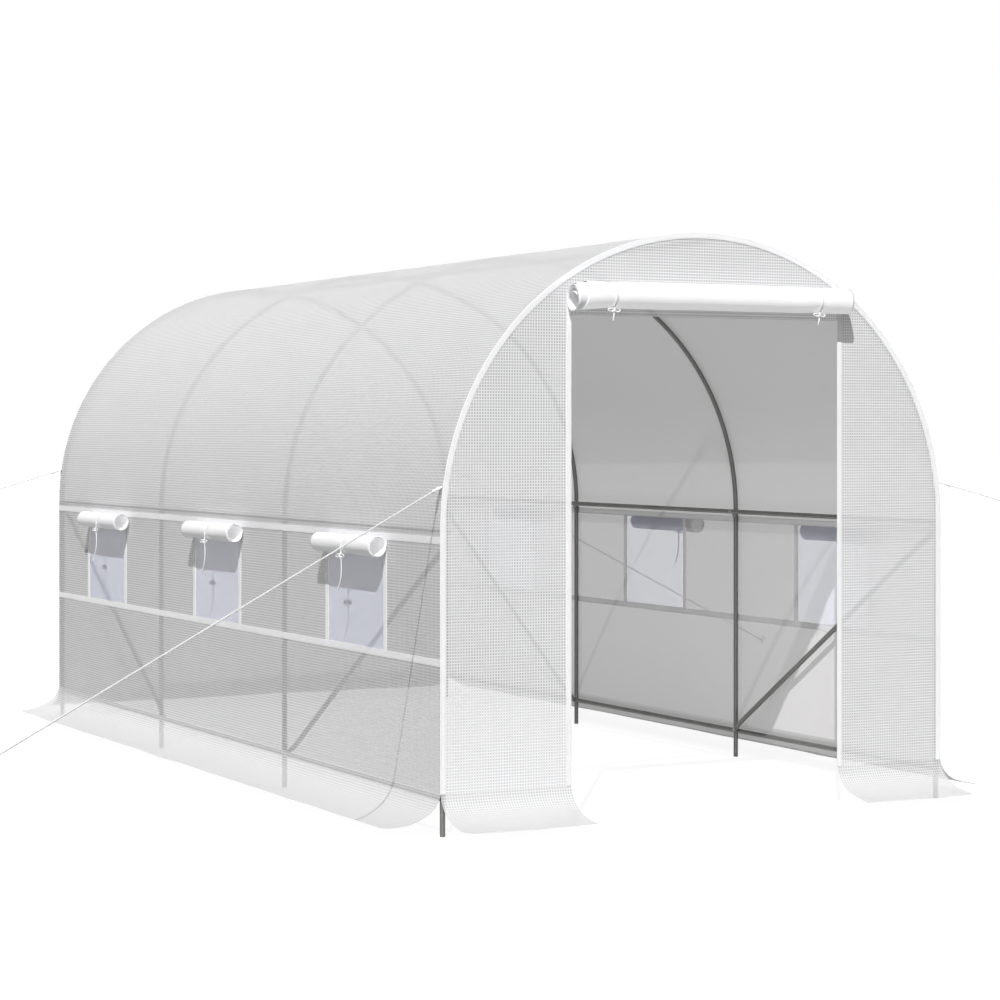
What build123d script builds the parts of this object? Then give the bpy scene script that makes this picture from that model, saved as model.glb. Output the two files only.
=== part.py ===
"""A walk-in polytunnel greenhouse: a tubular steel frame under a sewn film cover.

Millimetres, +Z up. The origin is on the ground under the middle of the tunnel.
The doorway is in the front end, which faces -Y, and the rear end faces +Y.
"""

import os
from math import atan2, cos, degrees, hypot, radians, sin, sqrt

from build123d import *

os.makedirs("parts", exist_ok=True)

# Frame. Its tubes repeat, so their sections are eight-sided.
bay_count = 3
bay_length = 1339.0
tunnel_width = 2000.0  # over the cover
eave_height = 1000.0  # where the straight legs end and the half-round hoops start
tube_diameter = 18.0
purlin_drop = 5.0  # side purlin below the eave
rail_heights = {"left": 123.0, "right": 106.0}
foot_chamfer = 2.0

# Diagonal braces, pressed flat where they are bolted on
brace_drop = 22.0  # brace head below the purlin
tab_length = 34.0
tab_thickness = 5.0
tab_width = 22.0
tab_edge = 1.5
press_length = 30.0  # from the flat end to the round tube

# Cover
cover_thickness = 3.0
seat_gap = 0.3  # clearance between two pieces that lie on each other
roof_strips = 6
door_left = -516.0
door_right = 553.0
door_height = 1760.0
skirt_top = 140.0
skirt_hem = 33.0
skirt_reach = 190.0
left_skirt_corner = 85.0
front_skirt_corner = 50.0

# Windows, one in each bay of each side wall
window_width = 470.0
window_height = 376.0
window_drop = 47.0  # window head below the eave

# Tapes sewn on the cover
tape_thickness = 1.5
tape_width = 24.0
side_tape_width = 26.0
binding_width = 18.0  # along the edge of each end
hem_width = 17.0  # beside the doorway

# Rolled-up flaps over the windows and the rolled-up door
flap_roll_diameter = 70.0
flap_roll_length = 500.0
flap_roll_drop = 24.0  # middle of the roll below the window head
flap_roll_shifts = (-20.0, -40.0, -55.0)  # along the wall, from the middle of each window
flap_turns = 1
door_roll_diameter = 92.0
door_roll_left = -536.0
door_roll_right = 560.0
door_roll_lift = 17.0  # middle of the roll above the door head
door_turns = 2
roll_pitch = 4.2  # from one turn of the roll to the next
tie_width = 6.0
tie_thickness = 1.2
tie_sides = 16
flap_tie_shift = -33.0  # along the wall, from the middle of each rolled flap
door_tie_places = (-391.0, 430.0)

# Loose ends of the window ties
tail_diameter = 4.0
tail_sides = 6

# Guy ropes and ground pegs
rope_diameter = 6.0
rope_angle = 8.0  # up the hoop from the eave
rope_spread = 3160.0  # sideways from the cover to the peg
rope_run = 2024.0  # lengthwise from the end hoop to the peg
rope_low = 22.0
peg_diameter = 7.0
peg_sides = 6
peg_stand = 38.0
peg_hook_radius = 9.0
peg_hook_drop = 12.0

# Worked out from the sizes above
half_width = tunnel_width / 2
tube_radius = tube_diameter / 2
hoop_radius = half_width - cover_thickness - seat_gap - tube_radius
inner_line = hoop_radius - tube_diameter - seat_gap
purlin_height = eave_height - purlin_drop
frame_half = bay_count * bay_length / 2
hoop_places = [-frame_half + n * bay_length for n in range(bay_count + 1)]
shell_half = frame_half + tube_radius
end_inner = shell_half + seat_gap
end_outer = end_inner + cover_thickness
window_places = [-frame_half + (n + 0.5) * bay_length for n in range(bay_count)]
flap_places = [place + shift for place, shift in zip(window_places, flap_roll_shifts)]
flap_tie_places = [place + flap_tie_shift for place in flap_places]
window_head = eave_height - window_drop
window_sill = window_head - window_height
flap_roll_height = window_head - flap_roll_drop
door_roll_height = door_height + door_roll_lift
sides = {"left": -1, "right": 1}


def write(piece, name):
    """Label a finished piece and write its file."""
    piece.part.label = name
    export_step(piece.part, f"parts/{name}.step")


def octagon(depth, width, edge, shift=0.0):
    """Draw a box with its corners cut off, shifted along its depth."""
    with Locations((shift, 0)):
        box = Rectangle(depth, width)
        chamfer(box.vertices(), edge)


def tube_section(diameter=tube_diameter):
    """Draw the section of a round bar, flat towards what it lies against."""
    octagon(diameter, diameter, diameter / (2 + sqrt(2)))


def bar_between(start, end, diameter=tube_diameter):
    """Add a straight bar from start to end."""
    run = Vector(*end) - Vector(*start)
    with BuildSketch(Plane(origin=start, z_dir=run)) as section:
        tube_section(diameter)
    extrude(section.sketch, amount=run.length)


# Half-round hoops
for number, place in enumerate(hoop_places, start=1):
    with BuildPart() as hoop:
        with BuildLine(Plane.XZ.offset(-place)):
            CenterArc((0, eave_height + seat_gap), hoop_radius, 0, 180)
        with BuildSketch(Plane(origin=(hoop_radius, place, eave_height + seat_gap))):
            tube_section()
        sweep()
    write(hoop, f"hoop_{number}")

# Straight legs, from the ground to the hoops
for side, sign in sides.items():
    with BuildPart() as legs:
        for place in hoop_places:
            bar_between((sign * hoop_radius, place, 0), (sign * hoop_radius, place, eave_height))
        chamfer(legs.edges().group_by(Axis.Z)[0], foot_chamfer)
    write(legs, f"{side}_legs")

# Long tubes: purlins inside the hoops and bottom rails between the legs
for side, sign in sides.items():
    with BuildPart() as purlin:
        across = sign * inner_line
        bar_between((across, -shell_half, purlin_height), (across, shell_half, purlin_height))
    write(purlin, f"{side}_purlin")

    with BuildPart() as rail:
        across = sign * hoop_radius
        for place in hoop_places[:-1]:
            start = place + tube_radius + seat_gap
            end = place + bay_length - tube_radius - seat_gap
            bar_between((across, start, rail_heights[side]), (across, end, rail_heights[side]))
    write(rail, f"{side}_rail")

with BuildPart() as ridge_purlin:
    ridge_height = eave_height + inner_line
    bar_between((0, -shell_half, ridge_height), (0, shell_half, ridge_height))
write(ridge_purlin, "ridge_purlin")

# Diagonal braces in the end bays: each head is on an end hoop and each foot on the next
for side, sign in sides.items():
    for end, head_place, foot_place in (
        ("front", hoop_places[0], hoop_places[1]),
        ("rear", hoop_places[-1], hoop_places[-2]),
    ):
        foot = Vector(sign * inner_line, foot_place, rail_heights[side])
        head = Vector(sign * inner_line, head_place, purlin_height - tube_diameter - brace_drop)
        run = head - foot
        pressed = (tab_thickness, tab_width, tab_edge, tube_radius - tab_thickness / 2)
        round_tube = (tube_diameter, tube_diameter, tube_diameter / (2 + sqrt(2)))
        stations = (
            (0, pressed),
            (tab_length, pressed),
            (tab_length + press_length, round_tube),
            (run.length - tab_length - press_length, round_tube),
            (run.length - tab_length, pressed),
            (run.length, pressed),
        )
        with BuildPart() as brace:
            for distance, section in stations:
                with BuildSketch(Plane(foot + run.normalized() * distance, x_dir=(sign, 0, 0), z_dir=run)):
                    octagon(*section)
            loft(ruled=True)
        write(brace, f"{side}_{end}_brace")

# Side walls with a window in each bay, and the tapes sewn around them
for side, sign in sides.items():
    outward = Plane(origin=(sign * half_width, 0, 0), x_dir=(0, sign, 0), z_dir=(sign, 0, 0))
    with BuildPart() as wall:
        with BuildSketch(outward):
            with Locations((0, (skirt_top + eave_height) / 2)):
                Rectangle(2 * shell_half, eave_height - skirt_top)
            with Locations([(place, (window_sill + window_head) / 2) for place in window_places]):
                Rectangle(window_width, window_height, mode=Mode.SUBTRACT)
        extrude(amount=-cover_thickness)
        with BuildSketch(outward):
            for height in (window_sill - tape_width / 2, window_head + tape_width / 2):
                with Locations((0, height)):
                    Rectangle(2 * shell_half, tape_width)
            tape_line = (window_width + side_tape_width) / 2
            for place in window_places:
                for line in (place - tape_line, place + tape_line):
                    with Locations((line, (window_sill + window_head) / 2)):
                        Rectangle(side_tape_width, window_height)
        extrude(amount=tape_thickness)
    write(wall, f"{side}_wall")

    with BuildPart() as meshes:
        with BuildSketch(outward):
            with Locations([(place, (window_sill + window_head) / 2) for place in window_places]):
                Rectangle(window_width - 2 * seat_gap, window_height - 2 * seat_gap)
        extrude(amount=-cover_thickness)
    write(meshes, f"{side}_window_meshes")

# Roof in long strips from eave to eave
strip_angle = 180 / roof_strips
for number in range(roof_strips):
    first = number * strip_angle
    with BuildPart() as strip:
        with BuildSketch(Plane.XZ):
            with BuildLine():
                inner = CenterArc((0, eave_height), half_width - cover_thickness, first, strip_angle)
                outer = CenterArc((0, eave_height), half_width, first, strip_angle)
                Line(inner @ 0, outer @ 0)
                Line(inner @ 1, outer @ 1)
            make_face()
        extrude(amount=shell_half, both=True)
    write(strip, f"roof_{number + 1}")


def end_outline(inset, mode=Mode.ADD):
    """Draw the outline of an end: straight sides and a half-round top, set in from its edge."""
    with Locations((0, (skirt_top + eave_height) / 2)):
        Rectangle(tunnel_width - 2 * inset, eave_height - skirt_top, mode=mode)
    with BuildLine() as top:
        arc = CenterArc((0, eave_height), half_width - inset, 0, 180)
        Line(arc @ 1, arc @ 0)
    make_face(top.edges(), mode=mode)


def end_piece(plane, left, right, low, high, hem):
    """Add the part of an end between two corners, with its binding and its doorway hem."""
    with BuildSketch(plane) as film:
        end_outline(0)
        with Locations(((left + right) / 2, (low + high) / 2)):
            Rectangle(right - left, high - low, mode=Mode.INTERSECT)
    extrude(film.sketch, amount=cover_thickness)
    with BuildSketch(plane.offset(cover_thickness)) as tapes:
        end_outline(0)
        end_outline(binding_width, mode=Mode.SUBTRACT)
        with Locations(((left + right) / 2, (low + high) / 2)):
            Rectangle(right - left, high - low, mode=Mode.INTERSECT)
        if hem is not None:
            with Locations((hem, (skirt_top + door_height) / 2)):
                Rectangle(hem_width, door_height - skirt_top)
    extrude(tapes.sketch, amount=tape_thickness)


# Front end: a panel on each side of the doorway and a gable over it
front_plane = Plane(origin=(0, -end_inner, 0), x_dir=(1, 0, 0), z_dir=(0, -1, 0))
rear_plane = Plane(origin=(0, end_inner, 0), x_dir=(-1, 0, 0), z_dir=(0, 1, 0))
ridge = eave_height + half_width
end_pieces = {
    "front_left_panel": (front_plane, -half_width, door_left, 0, ridge, door_left - hem_width / 2),
    "front_right_panel": (front_plane, door_right, half_width, 0, ridge, door_right + hem_width / 2),
    "front_gable": (front_plane, door_left + seat_gap, door_right - seat_gap, door_height, ridge, None),
    "rear_wall": (rear_plane, -half_width, half_width, 0, ridge, None),
}
for name, cut in end_pieces.items():
    with BuildPart() as panel:
        end_piece(*cut)
    write(panel, name)

# Skirts: the foot of the cover curves outwards and ends flat in a hem
skirt_drop = skirt_top - seat_gap - skirt_hem - cover_thickness
skirt_radius = (skirt_reach**2 + skirt_drop**2) / (2 * skirt_drop)
skirt_sweep = degrees(2 * atan2(skirt_drop, skirt_reach))


def skirt_of(foot, length):
    """Add a skirt, with foot a plane whose x points outwards and whose y points up."""
    with BuildSketch(foot) as section:
        with BuildLine():
            middle = (skirt_reach, skirt_hem + cover_thickness + skirt_radius)
            upper = CenterArc(middle, skirt_radius, -90, -skirt_sweep)
            lower = CenterArc(middle, skirt_radius + cover_thickness, -90, -skirt_sweep)
            Line(upper @ 0, lower @ 0)
            Line(upper @ 1, lower @ 1)
        make_face()
    extrude(section.sketch, amount=length / 2, both=True)


# Each skirt: the middle of its foot, its way out, its length, and the rounded corner that it
# has beside the front left leg
skirts = {
    "left_skirt": ((-half_width, 0), (-1, 0), 2 * shell_half, left_skirt_corner),
    "right_skirt": ((half_width, 0), (1, 0), 2 * shell_half, None),
    "front_left_skirt": (
        ((door_left - half_width) / 2, -end_outer), (0, -1), half_width + door_left, front_skirt_corner,
    ),
    "front_right_skirt": (
        ((door_right + half_width) / 2, -end_outer), (0, -1), half_width - door_right, None,
    ),
    "rear_skirt": ((0, end_outer), (0, 1), tunnel_width, None),
}
for name, ((middle_x, middle_y), (out_x, out_y), length, corner) in skirts.items():
    foot_plane = Plane(origin=(middle_x, middle_y, 0), x_dir=(out_x, out_y, 0), z_dir=(out_y, -out_x, 0))
    with BuildPart() as skirt:
        skirt_of(foot_plane, length)
        if corner:
            box = skirt.part.bounding_box()
            with BuildSketch() as plan:
                with Locations((box.center().X, box.center().Y)):
                    Rectangle(box.size.X, box.size.Y)
                outermost = (-half_width - skirt_reach, -end_outer - skirt_reach)
                fillet(plan.vertices().sort_by_distance(outermost)[0], corner)
            extrude(plan.sketch, amount=skirt_top, mode=Mode.INTERSECT)
    write(skirt, name)


def rolled_sheet(middle, diameter, turns):
    """Draw a rolled sheet from its sewn edge: a flat lead-in and half turns that shrink."""
    half = cover_thickness / 2
    radius = diameter / 2 - half
    lead = diameter / 2 + tie_thickness + seat_gap
    start = middle + Vector(0, radius)
    with BuildLine() as outline:
        for face in (half, -half):
            Line(start + Vector(-lead, face), start + Vector(0, face))
        Line(start + Vector(-lead, half), start + Vector(-lead, -half))
        for turn in range(2 * turns):
            way = 1 if turn % 2 == 0 else -1
            end = start - Vector(0, 2 * way * radius)
            for face in (half, -half):
                side = (start + end) / 2 + Vector(way * (radius + face), 0)
                ThreePointArc(start + Vector(0, way * face), side, end - Vector(0, way * face))
            start = end
            radius -= roll_pitch / 2
        Line(start + Vector(0, half), start - Vector(0, half))
    make_face(outline.edges())


def tie_ring(middle, diameter):
    """Draw the tape round a roll, from over its sewn edge round to just under it."""
    outside = diameter / 2 + seat_gap + tie_thickness
    with Locations(middle):
        RegularPolygon(outside, tie_sides, major_radius=False)
        RegularPolygon(diameter / 2 + seat_gap, tie_sides, major_radius=False, mode=Mode.SUBTRACT)
    with Locations(middle + Vector(-outside, diameter / 2 - cover_thickness / 2)):
        Rectangle(2 * outside, cover_thickness + 2 * seat_gap, mode=Mode.SUBTRACT)


def roll_out(diameter):
    """The distance from the cover to the middle of a roll, whose tie clears the tapes."""
    return tape_thickness + seat_gap + tie_thickness + seat_gap + diameter / 2


def across_wall(sign, place):
    """The plane that cuts across a side wall at a place, its x outwards and its y upwards."""
    return Plane(origin=(sign * half_width, place, 0), x_dir=(sign, 0, 0), z_dir=(0, -sign, 0))


# Flaps rolled up above the windows, and their ties
flap_out = roll_out(flap_roll_diameter)
for side, sign in sides.items():
    with BuildPart() as flaps:
        for place in flap_places:
            with BuildSketch(across_wall(sign, place)):
                rolled_sheet(Vector(flap_out, flap_roll_height), flap_roll_diameter, flap_turns)
            extrude(amount=flap_roll_length / 2, both=True)
    write(flaps, f"{side}_window_flaps")

    with BuildPart() as ties:
        for place in flap_tie_places:
            with BuildSketch(across_wall(sign, place)):
                tie_ring(Vector(flap_out, flap_roll_height), flap_roll_diameter)
            extrude(amount=tie_width / 2, both=True)
    write(ties, f"{side}_window_ties")

# The door, rolled up over the doorway, and its ties
door_out = roll_out(door_roll_diameter)
door_middle = (door_roll_left + door_roll_right) / 2
with BuildPart() as door_roll:
    cut = Plane(origin=(door_middle, -end_outer, 0), x_dir=(0, -1, 0), z_dir=(-1, 0, 0))
    with BuildSketch(cut):
        rolled_sheet(Vector(door_out, door_roll_height), door_roll_diameter, door_turns)
    extrude(amount=(door_roll_right - door_roll_left) / 2, both=True)
write(door_roll, "door_roll")

with BuildPart() as door_ties:
    for place in door_tie_places:
        cut = Plane(origin=(place, -end_outer, 0), x_dir=(0, -1, 0), z_dir=(-1, 0, 0))
        with BuildSketch(cut):
            tie_ring(Vector(door_out, door_roll_height), door_roll_diameter)
        extrude(amount=tie_width / 2, both=True)
write(door_ties, "door_ties")

# Loose ends that hang from the window ties: outwards, along the wall and down from the
# outermost point of the tie, which is a corner of its outline
tail_route = [
    (0.0, 0.0, 3.0),
    (0.0, 0.0, -38.0),
    (-1.5, -2.0, -82.0),
    (0.0, 1.0, -126.0),
    (3.0, 33.0, -172.0),
]
tie_corner = (flap_roll_diameter / 2 + seat_gap + tie_thickness) / cos(radians(180 / tie_sides))
tail_out = half_width + flap_out + tie_corner + seat_gap + tail_diameter / 2
for side, sign in sides.items():
    for number, place in enumerate(flap_tie_places, start=1):
        points = [
            Vector(sign * (tail_out + out), place + along, flap_roll_height + down)
            for out, along, down in tail_route
        ]
        with BuildPart() as tail:
            with BuildLine():
                Polyline(*points)
            with BuildSketch(Plane(origin=points[0], z_dir=points[1] - points[0])):
                RegularPolygon(tail_diameter / 2, tail_sides)
            sweep(transition=Transition.RIGHT)
        write(tail, f"{side}_tie_tail_{number}")

# Guy ropes from the end hoops to hooked pegs in the ground
with BuildPart() as ground_pegs:
    for end_sign in (-1, 1):
        for sign in sides.values():
            peg = Vector(sign * (half_width + rope_spread), end_sign * (frame_half + rope_run), 0)
            with BuildLine(Plane(origin=peg, x_dir=(sign, 0, 0), z_dir=(0, -sign, 0))):
                stand = Line((0, 0), (0, peg_stand))
                bend = CenterArc((peg_hook_radius, peg_stand), peg_hook_radius, 180, -180)
                Line(bend @ 1, (2 * peg_hook_radius, peg_stand - peg_hook_drop))
            with BuildSketch(Plane(origin=peg)):
                RegularPolygon(peg_diameter / 2, peg_sides)
            sweep()
write(ground_pegs, "ground_pegs")

rope_radius = rope_diameter / 2
for end, end_sign in (("front", -1), ("rear", 1)):
    for side, sign in sides.items():
        normal = Vector(sign * cos(radians(rope_angle)), 0, sin(radians(rope_angle)))
        anchor = Vector(0, end_sign * frame_half, eave_height) + normal * half_width
        peg = Vector(sign * (half_width + rope_spread), end_sign * (frame_half + rope_run), rope_low)
        heading = (peg - anchor).normalized()
        off_cover = seat_gap + rope_radius * sqrt(1 - normal.dot(heading) ** 2)
        level = hypot(heading.X, heading.Y)
        off_peg = (peg_diameter / 2 + seat_gap + rope_radius * abs(heading.Z)) / level
        start = anchor + normal * off_cover
        with BuildPart() as rope:
            bar_between(tuple(start), tuple(peg - heading * off_peg), rope_diameter)
        write(rope, f"{end}_{side}_rope")
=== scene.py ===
"""Dress a walk-in polytunnel greenhouse: film cover, rolled openings, ties, ropes and steel frame."""

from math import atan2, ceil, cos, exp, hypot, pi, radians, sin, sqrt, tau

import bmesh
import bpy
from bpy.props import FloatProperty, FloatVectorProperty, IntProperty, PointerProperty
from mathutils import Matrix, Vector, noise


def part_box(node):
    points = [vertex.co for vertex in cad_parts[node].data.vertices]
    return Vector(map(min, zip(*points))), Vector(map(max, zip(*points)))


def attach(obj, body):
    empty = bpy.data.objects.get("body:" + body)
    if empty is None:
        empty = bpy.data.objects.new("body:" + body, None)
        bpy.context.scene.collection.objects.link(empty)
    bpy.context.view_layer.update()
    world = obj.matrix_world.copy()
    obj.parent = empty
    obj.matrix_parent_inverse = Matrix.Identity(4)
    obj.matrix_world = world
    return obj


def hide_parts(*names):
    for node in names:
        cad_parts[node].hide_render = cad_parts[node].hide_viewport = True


bl_info = {
    "name": "Polytunnel Greenhouse",
    "version": (1, 0, 0),
    "blender": (4, 5, 0),
    "location": "View3D > Sidebar > Greenhouse",
    "description": "Builds the film cover, openings, ties, ropes and steel of a walk-in polytunnel",
    "category": "Add Mesh",
}

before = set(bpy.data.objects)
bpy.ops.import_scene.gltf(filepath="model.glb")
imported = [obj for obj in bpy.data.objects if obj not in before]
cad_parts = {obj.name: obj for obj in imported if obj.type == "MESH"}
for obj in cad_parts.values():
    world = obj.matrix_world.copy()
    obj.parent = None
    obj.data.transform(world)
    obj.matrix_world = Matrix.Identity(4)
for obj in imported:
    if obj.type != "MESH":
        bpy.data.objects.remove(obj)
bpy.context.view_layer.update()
SIDES = {"left": -1, "right": 1}
ENDS = {"front": -1, "rear": 1}
UP = Vector((0, 0, 1))


def middle(node, axis):
    """The middle of a node's box along one axis."""
    low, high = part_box(node)
    return (low[axis] + high[axis]) / 2


# Places that the frame gives
HOOP_LINES = [middle(f"hoop_{number}", 1) for number in (1, 2, 3, 4)]
BAY = HOOP_LINES[1] - HOOP_LINES[0]
WINDOW_LINES = [line + BAY / 2 for line in HOOP_LINES[:-1]]
TUBE_RADIUS = (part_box("hoop_1")[1].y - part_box("hoop_1")[0].y) / 2
HALF_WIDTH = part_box("rear_wall")[1].x
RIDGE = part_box("rear_wall")[1].z
EAVE = RIDGE - HALF_WIDTH
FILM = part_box("right_window_meshes")[1].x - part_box("right_window_meshes")[0].x
SKIRT_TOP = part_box("rear_wall")[0].z
SKIRT_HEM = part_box("left_skirt")[0].z
SKIRT_REACH = -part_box("left_skirt")[0].x - HALF_WIDTH
FRONT_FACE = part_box("front_gable")[1].y - FILM
REAR_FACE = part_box("rear_wall")[0].y + FILM
DOOR_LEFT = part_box("front_left_panel")[1].x
DOOR_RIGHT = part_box("front_right_panel")[0].x
DOOR_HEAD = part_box("front_gable")[0].z
WINDOW_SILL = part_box("left_window_meshes")[0].z
WINDOW_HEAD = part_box("left_window_meshes")[1].z
WINDOW_HALF = WINDOW_LINES[0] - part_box("left_window_meshes")[0].y
LEG_LINE = middle("right_legs", 0)
PURLIN_LINE = middle("right_purlin", 0)
PURLIN_HEIGHT = middle("right_purlin", 2)
RAIL_HEIGHTS = {side: middle(f"{side}_rail", 2) for side in SIDES}
# The flaps hang a little off their windows, and each tie a little off the middle of its flap
FLAP_LINES = [line + shift for line, shift in zip(WINDOW_LINES, (-0.020, -0.040, -0.055))]
FLAP_LENGTH = 2 * (FLAP_LINES[0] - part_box("left_window_flaps")[0].y)
TIE_SHIFT = -0.033
TIE_WIDTH = 0.006
DOOR_TIES = (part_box("door_ties")[0].x + TIE_WIDTH / 2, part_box("door_ties")[1].x - TIE_WIDTH / 2)
END_BAYS = {"front": (HOOP_LINES[0], HOOP_LINES[1]), "rear": (HOOP_LINES[-1], HOOP_LINES[-2])}
ROOF_STEPS = 72


class StageSettings(bpy.types.PropertyGroup):
    """The floor, the light and the camera."""

    camera_place: FloatVectorProperty(
        name="Camera", description="Where the camera stands", subtype="XYZ", unit="LENGTH",
        default=(-4.709, -9.656, 1.325),
    )
    camera_turn: FloatProperty(
        name="Camera turn", description="Turn of the camera from straight ahead to the right",
        subtype="ANGLE", default=radians(27.21),
    )
    lens: FloatProperty(name="Lens", description="Focal length in millimetres", default=93.96)
    camera_drop: FloatProperty(
        name="Lens drop", description="Vertical lens shift that lowers the view", default=-0.0698,
    )
    floor_size: FloatProperty(
        name="Floor width", description="Width of the floor", unit="LENGTH", default=160.0,
    )
    sun_way: FloatVectorProperty(
        name="Sun way", description="The way that the sunlight travels", default=(0.37, 0.55, -0.75),
    )
    sun_strength: FloatProperty(name="Sun", description="Strength of the sun", default=3.9)
    sun_angle: FloatProperty(
        name="Sun width", description="Apparent width of the sun, which softens the shadows",
        subtype="ANGLE", default=radians(0.45),
    )
    sky_strength: FloatProperty(name="Sky", description="Strength of the even light", default=0.05)
    fill_way: FloatVectorProperty(
        name="Fill way", description="The way that the soft light travels", default=(0.63, 0.76, -0.36),
    )
    fill_strength: FloatProperty(name="Fill", description="Strength of the soft light", default=0.68)
    fill_angle: FloatProperty(
        name="Fill width", description="Apparent width of the soft light", subtype="ANGLE",
        default=radians(40),
    )
    inner_power: FloatVectorProperty(
        name="Inner light", size=2, default=(1.1, 4.2),
        description="Power of the two lights that stand in for what the film lets through",
    )
    floor_colour: FloatProperty(
        name="Floor", description="How much light the floor throws back", default=0.25,
    )
    floor_glow: FloatProperty(
        name="Floor glow", description="Share of the floor that shows as plain white", default=0.90,
    )


class FilmSettings(bpy.types.PropertyGroup):
    """The grid-reinforced film of the cover."""

    pitch: FloatProperty(
        name="Grid pitch", description="From one reinforcing thread to the next",
        unit="LENGTH", default=0.0099,
    )
    thread: FloatProperty(
        name="Thread share", description="Share of the pitch that a thread takes up", default=0.40,
    )
    thread_colour: FloatVectorProperty(
        name="Thread", description="Colour of the threads", subtype="COLOR", default=(0.80, 0.80, 0.81),
    )
    cell_colour: FloatVectorProperty(
        name="Cell", description="Colour between the threads", subtype="COLOR", default=(0.63, 0.63, 0.64),
    )
    thread_alpha: FloatProperty(name="Thread cover", description="Opacity of a thread", default=0.90)
    cell_alpha: FloatProperty(name="Cell cover", description="Opacity between threads", default=0.57)
    inner_colour: FloatVectorProperty(
        name="Inside", description="Colour of the film's inside", subtype="COLOR",
        default=(0.80, 0.785, 0.785),
    )
    inner_alpha: FloatProperty(name="Inside cover", description="Opacity from the inside", default=0.78)
    # Painted shade: the films of the walls, roof and skirts are darker copies of the end film, standing in
    # for how the light falls on them
    wall_painted_shade: FloatProperty(
        name="Wall tone", description="How light the film of the walls is against the ends", default=0.765,
    )
    roof_painted_shade: FloatProperty(
        name="Roof tone", description="How light the film of the roof is against the ends", default=0.88,
    )
    skirt_painted_shade: FloatProperty(
        name="Skirt tone", description="How light the film of the skirts is against the ends", default=0.80,
    )
    sag: FloatProperty(
        name="Slack", description="How far the film falls in between two hoops",
        unit="LENGTH", default=0.0022,
    )
    mesh_colour: FloatVectorProperty(
        name="Insect mesh", description="Colour of the window mesh", subtype="COLOR",
        default=(0.74, 0.77, 0.90),
    )
    mesh_alpha: FloatProperty(name="Mesh cover", description="Opacity of the window mesh", default=0.62)


class TrimSettings(bpy.types.PropertyGroup):
    """Sewn tapes, bindings and hems."""

    band_width: FloatProperty(
        name="Wall tape", description="Width of the long tapes on the walls", unit="LENGTH", default=0.024,
    )
    frame_width: FloatProperty(
        name="Window tape", description="Width of the tapes beside a window", unit="LENGTH", default=0.026,
    )
    binding_width: FloatProperty(
        name="Arch binding", description="Width of the binding on the end of the tunnel",
        unit="LENGTH", default=0.018,
    )
    hem_width: FloatProperty(
        name="Door hem", description="Width of the hems beside the doorway", unit="LENGTH", default=0.017,
    )
    thickness: FloatProperty(
        name="Tape thickness", description="How far a tape stands off the film",
        unit="LENGTH", default=0.0015,
    )
    colour: FloatVectorProperty(
        name="Tape", description="Colour of tapes and bindings", subtype="COLOR",
        default=(0.93, 0.93, 0.94),
    )


class RollSettings(bpy.types.PropertyGroup):
    """The rolled-up flaps and door."""

    film_thickness: FloatProperty(
        name="Film", description="Thickness of the rolled film", unit="LENGTH", default=0.0009,
    )
    flap_drop: FloatProperty(
        name="Flap length", description="Flat length of a window flap", unit="LENGTH", default=0.430,
    )
    flap_pitch: FloatProperty(
        name="Flap pitch", description="From one turn of a flap to the next", unit="LENGTH",
        default=0.0036,
    )
    door_drop: FloatProperty(
        name="Door length", description="Flat length of the door sheet", unit="LENGTH", default=1.12,
    )
    door_pitch: FloatProperty(
        name="Door pitch", description="From one turn of the door to the next", unit="LENGTH",
        default=0.0022,
    )
    colour: FloatVectorProperty(
        name="Rolled film", description="Colour of the rolled film", subtype="COLOR",
        default=(0.90, 0.90, 0.912),
    )


class SteelSettings(bpy.types.PropertyGroup):
    """The tubular frame and its fastenings."""

    colour: FloatVectorProperty(
        name="Steel", description="Colour of the coated tube", subtype="COLOR",
        default=(0.178, 0.178, 0.170),
    )
    collar_length: FloatProperty(
        name="Collar", description="Length of the sleeve that joins a leg to its hoop",
        unit="LENGTH", default=0.070,
    )
    collar_wall: FloatProperty(
        name="Collar wall", description="How far the sleeve stands off the tube",
        unit="LENGTH", default=0.0012,
    )
    bolt_head: FloatProperty(
        name="Bolt head", description="Width of a bolt head", unit="LENGTH", default=0.010,
    )
    tab_length: FloatProperty(
        name="Brace tab", description="Length of the flattened end of a brace", unit="LENGTH",
        default=0.034,
    )
    press_length: FloatProperty(
        name="Brace taper", description="From the flat end of a brace to its round tube", unit="LENGTH",
        default=0.030,
    )
    tab_size: FloatVectorProperty(
        name="Tab size", description="Thickness and width of a brace's flat end", size=2, unit="LENGTH",
        default=(0.005, 0.022),
    )


class RopeSettings(bpy.types.PropertyGroup):
    """Guy ropes, ties and pegs."""

    rope_lay: FloatProperty(
        name="Rope lay", description="Length of one twist of a rope's strands", unit="LENGTH",
        default=0.022,
    )
    rope_colour: FloatVectorProperty(
        name="Rope", description="Colour of ropes and ties", subtype="COLOR", default=(0.93, 0.93, 0.93),
    )
    tie_width: FloatProperty(
        name="Tie width", description="Width of the tape round a roll", unit="LENGTH", default=TIE_WIDTH,
    )
    tie_thickness: FloatProperty(
        name="Tie thickness", description="Thickness of the tape round a roll", unit="LENGTH",
        default=0.0011,
    )
    tail_diameter: FloatProperty(
        name="Tail diameter", description="Diameter of a tie's hanging end", unit="LENGTH", default=0.004,
    )
    tail_length: FloatProperty(
        name="Tail length", description="Length of a tie's hanging end", unit="LENGTH", default=0.184,
    )
    rope_sides: IntProperty(name="Rope sides", description="Sides of a rope's section", default=9)


def look(group):
    """The settings of one group of pieces."""
    return getattr(bpy.context.scene, f"greenhouse_{group}")


# Shader nodes

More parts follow.
